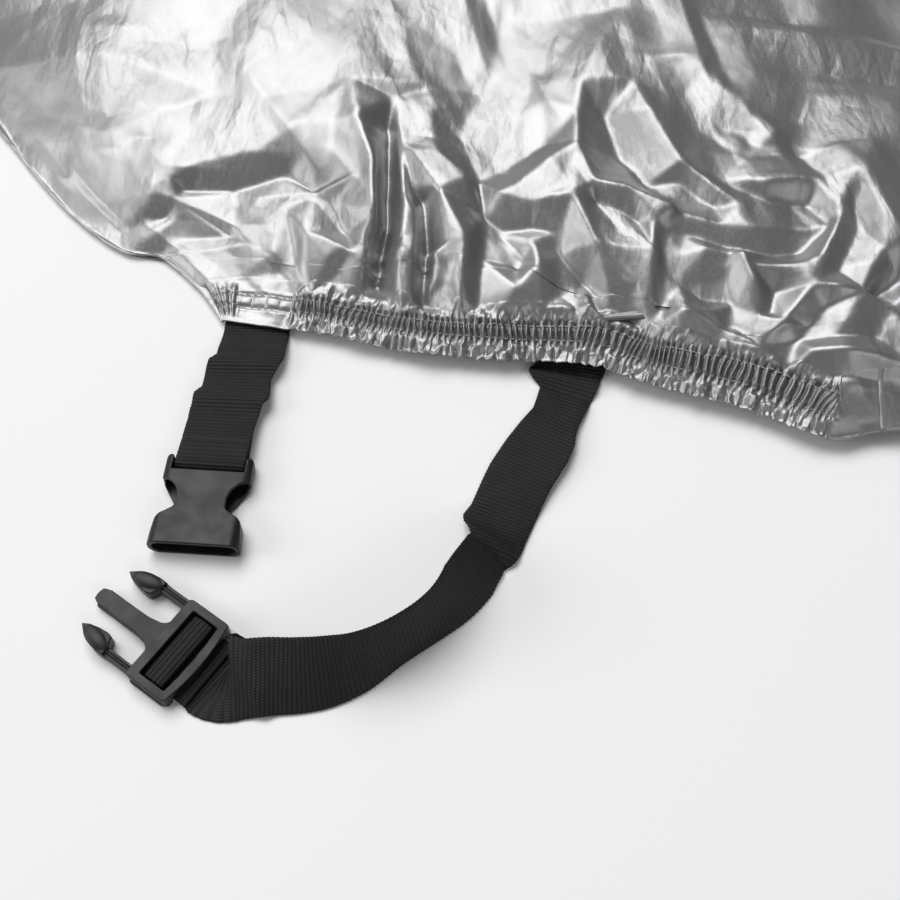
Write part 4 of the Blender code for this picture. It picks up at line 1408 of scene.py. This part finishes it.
def silverFinish():
    look = silverLook
    finish, tree, shader = newMaterial("silver_coated_cloth")
    place = addNode(tree, "UVMap", uv_map="cloth").outputs[0]
    swayed = addNode(
        tree,
        "VectorMath",
        operation="MULTIPLY_ADD",
        inputs={0: noise(tree, place, 60.0).outputs["Color"], 1: (0.003, 0.003, 0), 2: place},
    ).outputs[0]
    patches = noise(tree, place, 22.0, 3.0).outputs["Fac"]
    height = None
    for size, high, turn, stretch in look["crinkles"]:
        part = facetHeight(tree, swayed, size, high, turn, stretch)
        height = part if height is None else calculate(tree, "ADD", height, part)
    crinkled = spread(tree, patches, 0.40, 0.62, 0.25, 1.0)
    height = calculate(tree, "MULTIPLY", height, crinkled)
    threads = None
    for turn in (0, 90):
        laid = addNode(tree, "Mapping", inputs={"Vector": place, "Rotation": (0, 0, math.radians(turn))})
        scale = math.pi / (10 * look["threadPitch"])
        wave = addNode(
            tree,
            "TexWave",
            bands_direction="X",
            inputs={"Vector": laid.outputs[0], "Scale": scale, "Distortion": 0.4},
        ).outputs["Fac"]
        threads = wave if threads is None else calculate(tree, "MAXIMUM", threads, wave)
    height = calculate(tree, "ADD", height, calculate(tree, "MULTIPLY", threads, look["threadHeight"]))
    bump = addNode(tree, "Bump", inputs={"Height": height, "Distance": 1.0, "Strength": 1.0})
    tree.links.new(bump.outputs[0], shader.inputs["Normal"])
    grain = calculate(tree, "MULTIPLY", noise(tree, place, 900.0).outputs["Fac"], 0.5)
    tone = calculate(tree, "ADD", grain, calculate(tree, "MULTIPLY", patches, 0.5))
    low = tuple(0.90 * part for part in look["colour"])
    colour = addNode(
        tree,
        "Mix",
        data_type="RGBA",
        inputs={0: spread(tree, tone, 0.3, 0.7), 6: (*low, 1), 7: (*look["colour"], 1)},
    )
    # the hem's painted shade turns the colour towards the dark gap colour, standing in for the shadow between
    # the gathers
    paintedShade = addNode(tree, "Attribute", attribute_name="paintedShade").outputs["Fac"]
    paintedShadeMix = addNode(
        tree,
        "Mix",
        data_type="RGBA",
        inputs={0: paintedShade, 6: colour.outputs[2], 7: (*look["paintedGapShade"], 1)},
    )
    tree.links.new(paintedShadeMix.outputs[2], shader.inputs["Base Color"])
    tree.links.new(spread(tree, tone, 0.3, 0.7, *look["roughness"]), shader.inputs["Roughness"])
    shader.inputs["Metallic"].default_value = look["metal"]
    return finish


def threadFinish():
    finish, tree, shader = newMaterial("grey_thread")
    place = addNode(tree, "TexCoord").outputs["Object"]
    twist = noise(tree, place, 4000.0).outputs["Fac"]
    tone = spread(tree, twist, 0.3, 0.7, 0.32, 0.46)
    tree.links.new(grey(tree, tone), shader.inputs["Base Color"])
    height = calculate(tree, "MULTIPLY", twist, 0.1 * mm)
    bump = addNode(tree, "Bump", inputs={"Height": height, "Distance": 1.0})
    tree.links.new(bump.outputs[0], shader.inputs["Normal"])
    shader.inputs["Roughness"].default_value = 0.6
    return finish


def webbingFinish():
    # ribs across the webbing, each crossed by the threads along it, moved on a little at every rib; the
    # colour is painted lighter on the raised threads and darker in the hollows between them
    finish, tree, shader = newMaterial("black_webbing")
    place = addNode(tree, "UVMap", uv_map="cloth").outputs[0]
    apart = addNode(tree, "SeparateXYZ", inputs={0: place})
    along = calculate(tree, "DIVIDE", apart.outputs[0], webbing["ribPitch"] * mm)
    across = calculate(tree, "DIVIDE", apart.outputs[1], webbing["threadPitch"] * mm)
    rib = calculate(tree, "ABSOLUTE", calculate(tree, "SINE", calculate(tree, "MULTIPLY", along, math.pi)))
    shift = calculate(tree, "MULTIPLY", calculate(tree, "FLOOR", along), 0.25)
    turns = calculate(tree, "MULTIPLY", calculate(tree, "ADD", across, shift), 2 * math.pi)
    thread = calculate(tree, "MULTIPLY_ADD", calculate(tree, "SINE", turns), 0.5)
    fuzz = noise(tree, place, 5200.0, 3.0).outputs["Fac"]
    worn = noise(tree, place, 130.0, 3.0).outputs["Fac"]
    raised = calculate(tree, "MULTIPLY", rib, calculate(tree, "MULTIPLY_ADD", thread, 0.7))
    weave = calculate(tree, "MULTIPLY", raised, 0.16 * mm)
    height = calculate(tree, "ADD", weave, calculate(tree, "MULTIPLY", fuzz, 0.06 * mm))
    bump = addNode(tree, "Bump", inputs={"Height": height, "Distance": 1.0})
    tree.links.new(bump.outputs[0], shader.inputs["Normal"])
    # painted shade and highlight: lighter on the raised threads and darker in the hollows, as light falls on
    # them, varied at random by worn patches and fuzz
    paintedWeaveShadeAndWear = calculate(tree, "MULTIPLY", raised, spread(tree, worn, 0.35, 0.65, 0.6, 1.1))
    paintedWeaveShadeAndWear = calculate(tree, "ADD", paintedWeaveShadeAndWear, calculate(tree, "MULTIPLY", fuzz, 0.3))
    tone = spread(tree, paintedWeaveShadeAndWear, 0.1, 1.1, 0.003, 0.015, False)
    tree.links.new(grey(tree, tone, 1.03), shader.inputs["Base Color"])
    shader.inputs["Roughness"].default_value = 0.6
    shader.inputs["Specular IOR Level"].default_value = 0.28
    return finish


def plasticFinish():
    # moulded plastic with a fine even texture, a little shinier where it has been handled
    finish, tree, shader = newMaterial("black_plastic")
    place = addNode(tree, "TexCoord").outputs["Object"]
    grain = noise(tree, place, 3600.0).outputs["Fac"]
    handled = noise(tree, place, 120.0, 3.0).outputs["Fac"]
    height = calculate(tree, "MULTIPLY", grain, 0.03 * mm)
    bump = addNode(tree, "Bump", inputs={"Height": height, "Distance": 1.0})
    tree.links.new(bump.outputs[0], shader.inputs["Normal"])
    tree.links.new(spread(tree, handled, 0.3, 0.7, 0.36, 0.5), shader.inputs["Roughness"])
    tone = spread(tree, handled, 0.3, 0.7, 0.008, 0.012)
    shader.inputs["Specular IOR Level"].default_value = 0.35
    tree.links.new(grey(tree, tone, 1.04), shader.inputs["Base Color"])
    return finish


def plainFloor():
    bpy.ops.mesh.primitive_plane_add(size=14)
    floor = bpy.context.object
    floor.name = "floor"
    finish, tree, shader = newMaterial("floor_pale")
    place = addNode(tree, "TexCoord").outputs["Object"]
    cloudy = noise(tree, place, 1.5).outputs["Fac"]
    tone = spread(tree, cloudy, 0.3, 0.7, 0.90, 0.93)
    tree.links.new(grey(tree, tone), shader.inputs["Base Color"])
    shader.inputs["Roughness"].default_value = 0.9
    floor.data.materials.append(finish)


lamps = (  # name, place, what it shines at, size, power
    ("overhead", (-1.6, 0.9, 2.6), (-0.6, -0.3, 0), (2.6, 2.2), 84),
    ("front", (0.6, -2.8, 1.6), (-0.5, -0.4, 0), (2.0, 1.0), 12),
    ("left", (-3.4, -0.6, 1.2), (-0.7, -0.4, 0), (1.6, 1.2), 26),
)


def softLight(name, place, target, size, power):
    data = bpy.data.lights.new(name, "AREA")
    data.shape = "RECTANGLE"
    data.size, data.size_y = size
    data.energy = power
    lamp = bpy.data.objects.new(name, data)
    bpy.context.collection.objects.link(lamp)
    lamp.location = place
    lamp.rotation_euler = (Vector(target) - Vector(place)).to_track_quat("-Z", "Y").to_euler()


def makeLights():
    world = bpy.data.worlds.new("studio")
    bpy.context.scene.world = world
    world.use_nodes = True
    world.node_tree.nodes["Background"].inputs["Color"].default_value = (1, 1, 1, 1)
    world.node_tree.nodes["Background"].inputs["Strength"].default_value = 0.16
    for lamp in lamps:
        softLight(*lamp)
    bpy.context.scene.view_settings.view_transform = "Standard"


plainFloor()
makeLights()
print("stage made")

silver = silverFinish()
panel, panelPoints, panelU, panelV = makeUpperPanel()
panel.data.materials.append(silver)
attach(panel, "root")
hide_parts("side_panel_upper")
print("upper panel made")

frontGathers = {
    "from": hem["gathersFrom"],
    "to": hem["gathersTo"],
    "pitch": hem["pitch"],
    "stitch": hem["pitch"],
    "seed": 21,
    "bunch": 6.5 * mm,
}
rearGathers = {"from": 1.44, "to": hemLength - 0.02, "pitch": 3.2 * mm, "stitch": 3.2 * mm, "seed": 31}
# the middle of the hem has none, so these lie past its end
noGathers = {"from": 5.0, "to": 5.1, "pitch": 3 * mm, "stitch": 3.4 * mm, "seed": 41}
threadRows = []
for name, sRange, columns, rows, gathers in (
    ("hem_front_gathered", (0, 0.250), 900, 48, frontGathers),
    ("hem_middle_plain", (0.250, 1.42), 390, 18, noGathers),
    ("hem_rear_gathered", (1.42, hemLength), 520, 30, rearGathers),
):
    piece, points = makeHem(name, sRange, columns, rows, gathers, panelPoints, panelU, panelV)
    piece.data.materials.append(silver)
    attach(piece, "root")
    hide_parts("side_panel_upper")
    threadRows += hemStitches(points, sRange, gathers["stitch"], gathers["seed"])
print("hem made")

strip = makeSeam()
strip.data.materials.append(silver)
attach(strip, "root")
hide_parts("side_panel_upper")
threads = stitchRows("hem_stitches", threadRows, hem["thread"])
threads.data.materials.append(threadFinish())
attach(threads, "root")
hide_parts("side_panel_upper")
print("seam and stitches made, faces:", len(threads.data.polygons))

under = makeLowerPanel()
under.data.materials.append(silver)
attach(under, "root")
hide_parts("side_panel_lower")
print("lower panel made")

webbingCloth = webbingFinish()
blackPlastic = plasticFinish()
shortTape, shortLength = makeTape("webbing_short", shortStations(), shortEdges, shortShape)
longTape, longLength = makeTape("webbing_long", longStations(), longEdges, longShape)
for tape, node, length in ((shortTape, "strap_short", shortLength), (longTape, "strap_long", longLength)):
    tape.data.materials.append(webbingCloth)
    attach(tape, "root")
    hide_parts(node)
print("webbing made, mm:", round(shortLength), round(longLength))

socket = moulded("buckle_socket_half", "buckle_socket", socketAt)
prongs = moulded("buckle_prong_half", "buckle_prongs", prongsAt, prongDetails)
for half, node in ((socket, "buckle_socket"), (prongs, "buckle_prongs")):
    half.data.materials.append(blackPlastic)
    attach(half, "root")
    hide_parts(node)
    print(half.name, "faces:", len(half.data.polygons))
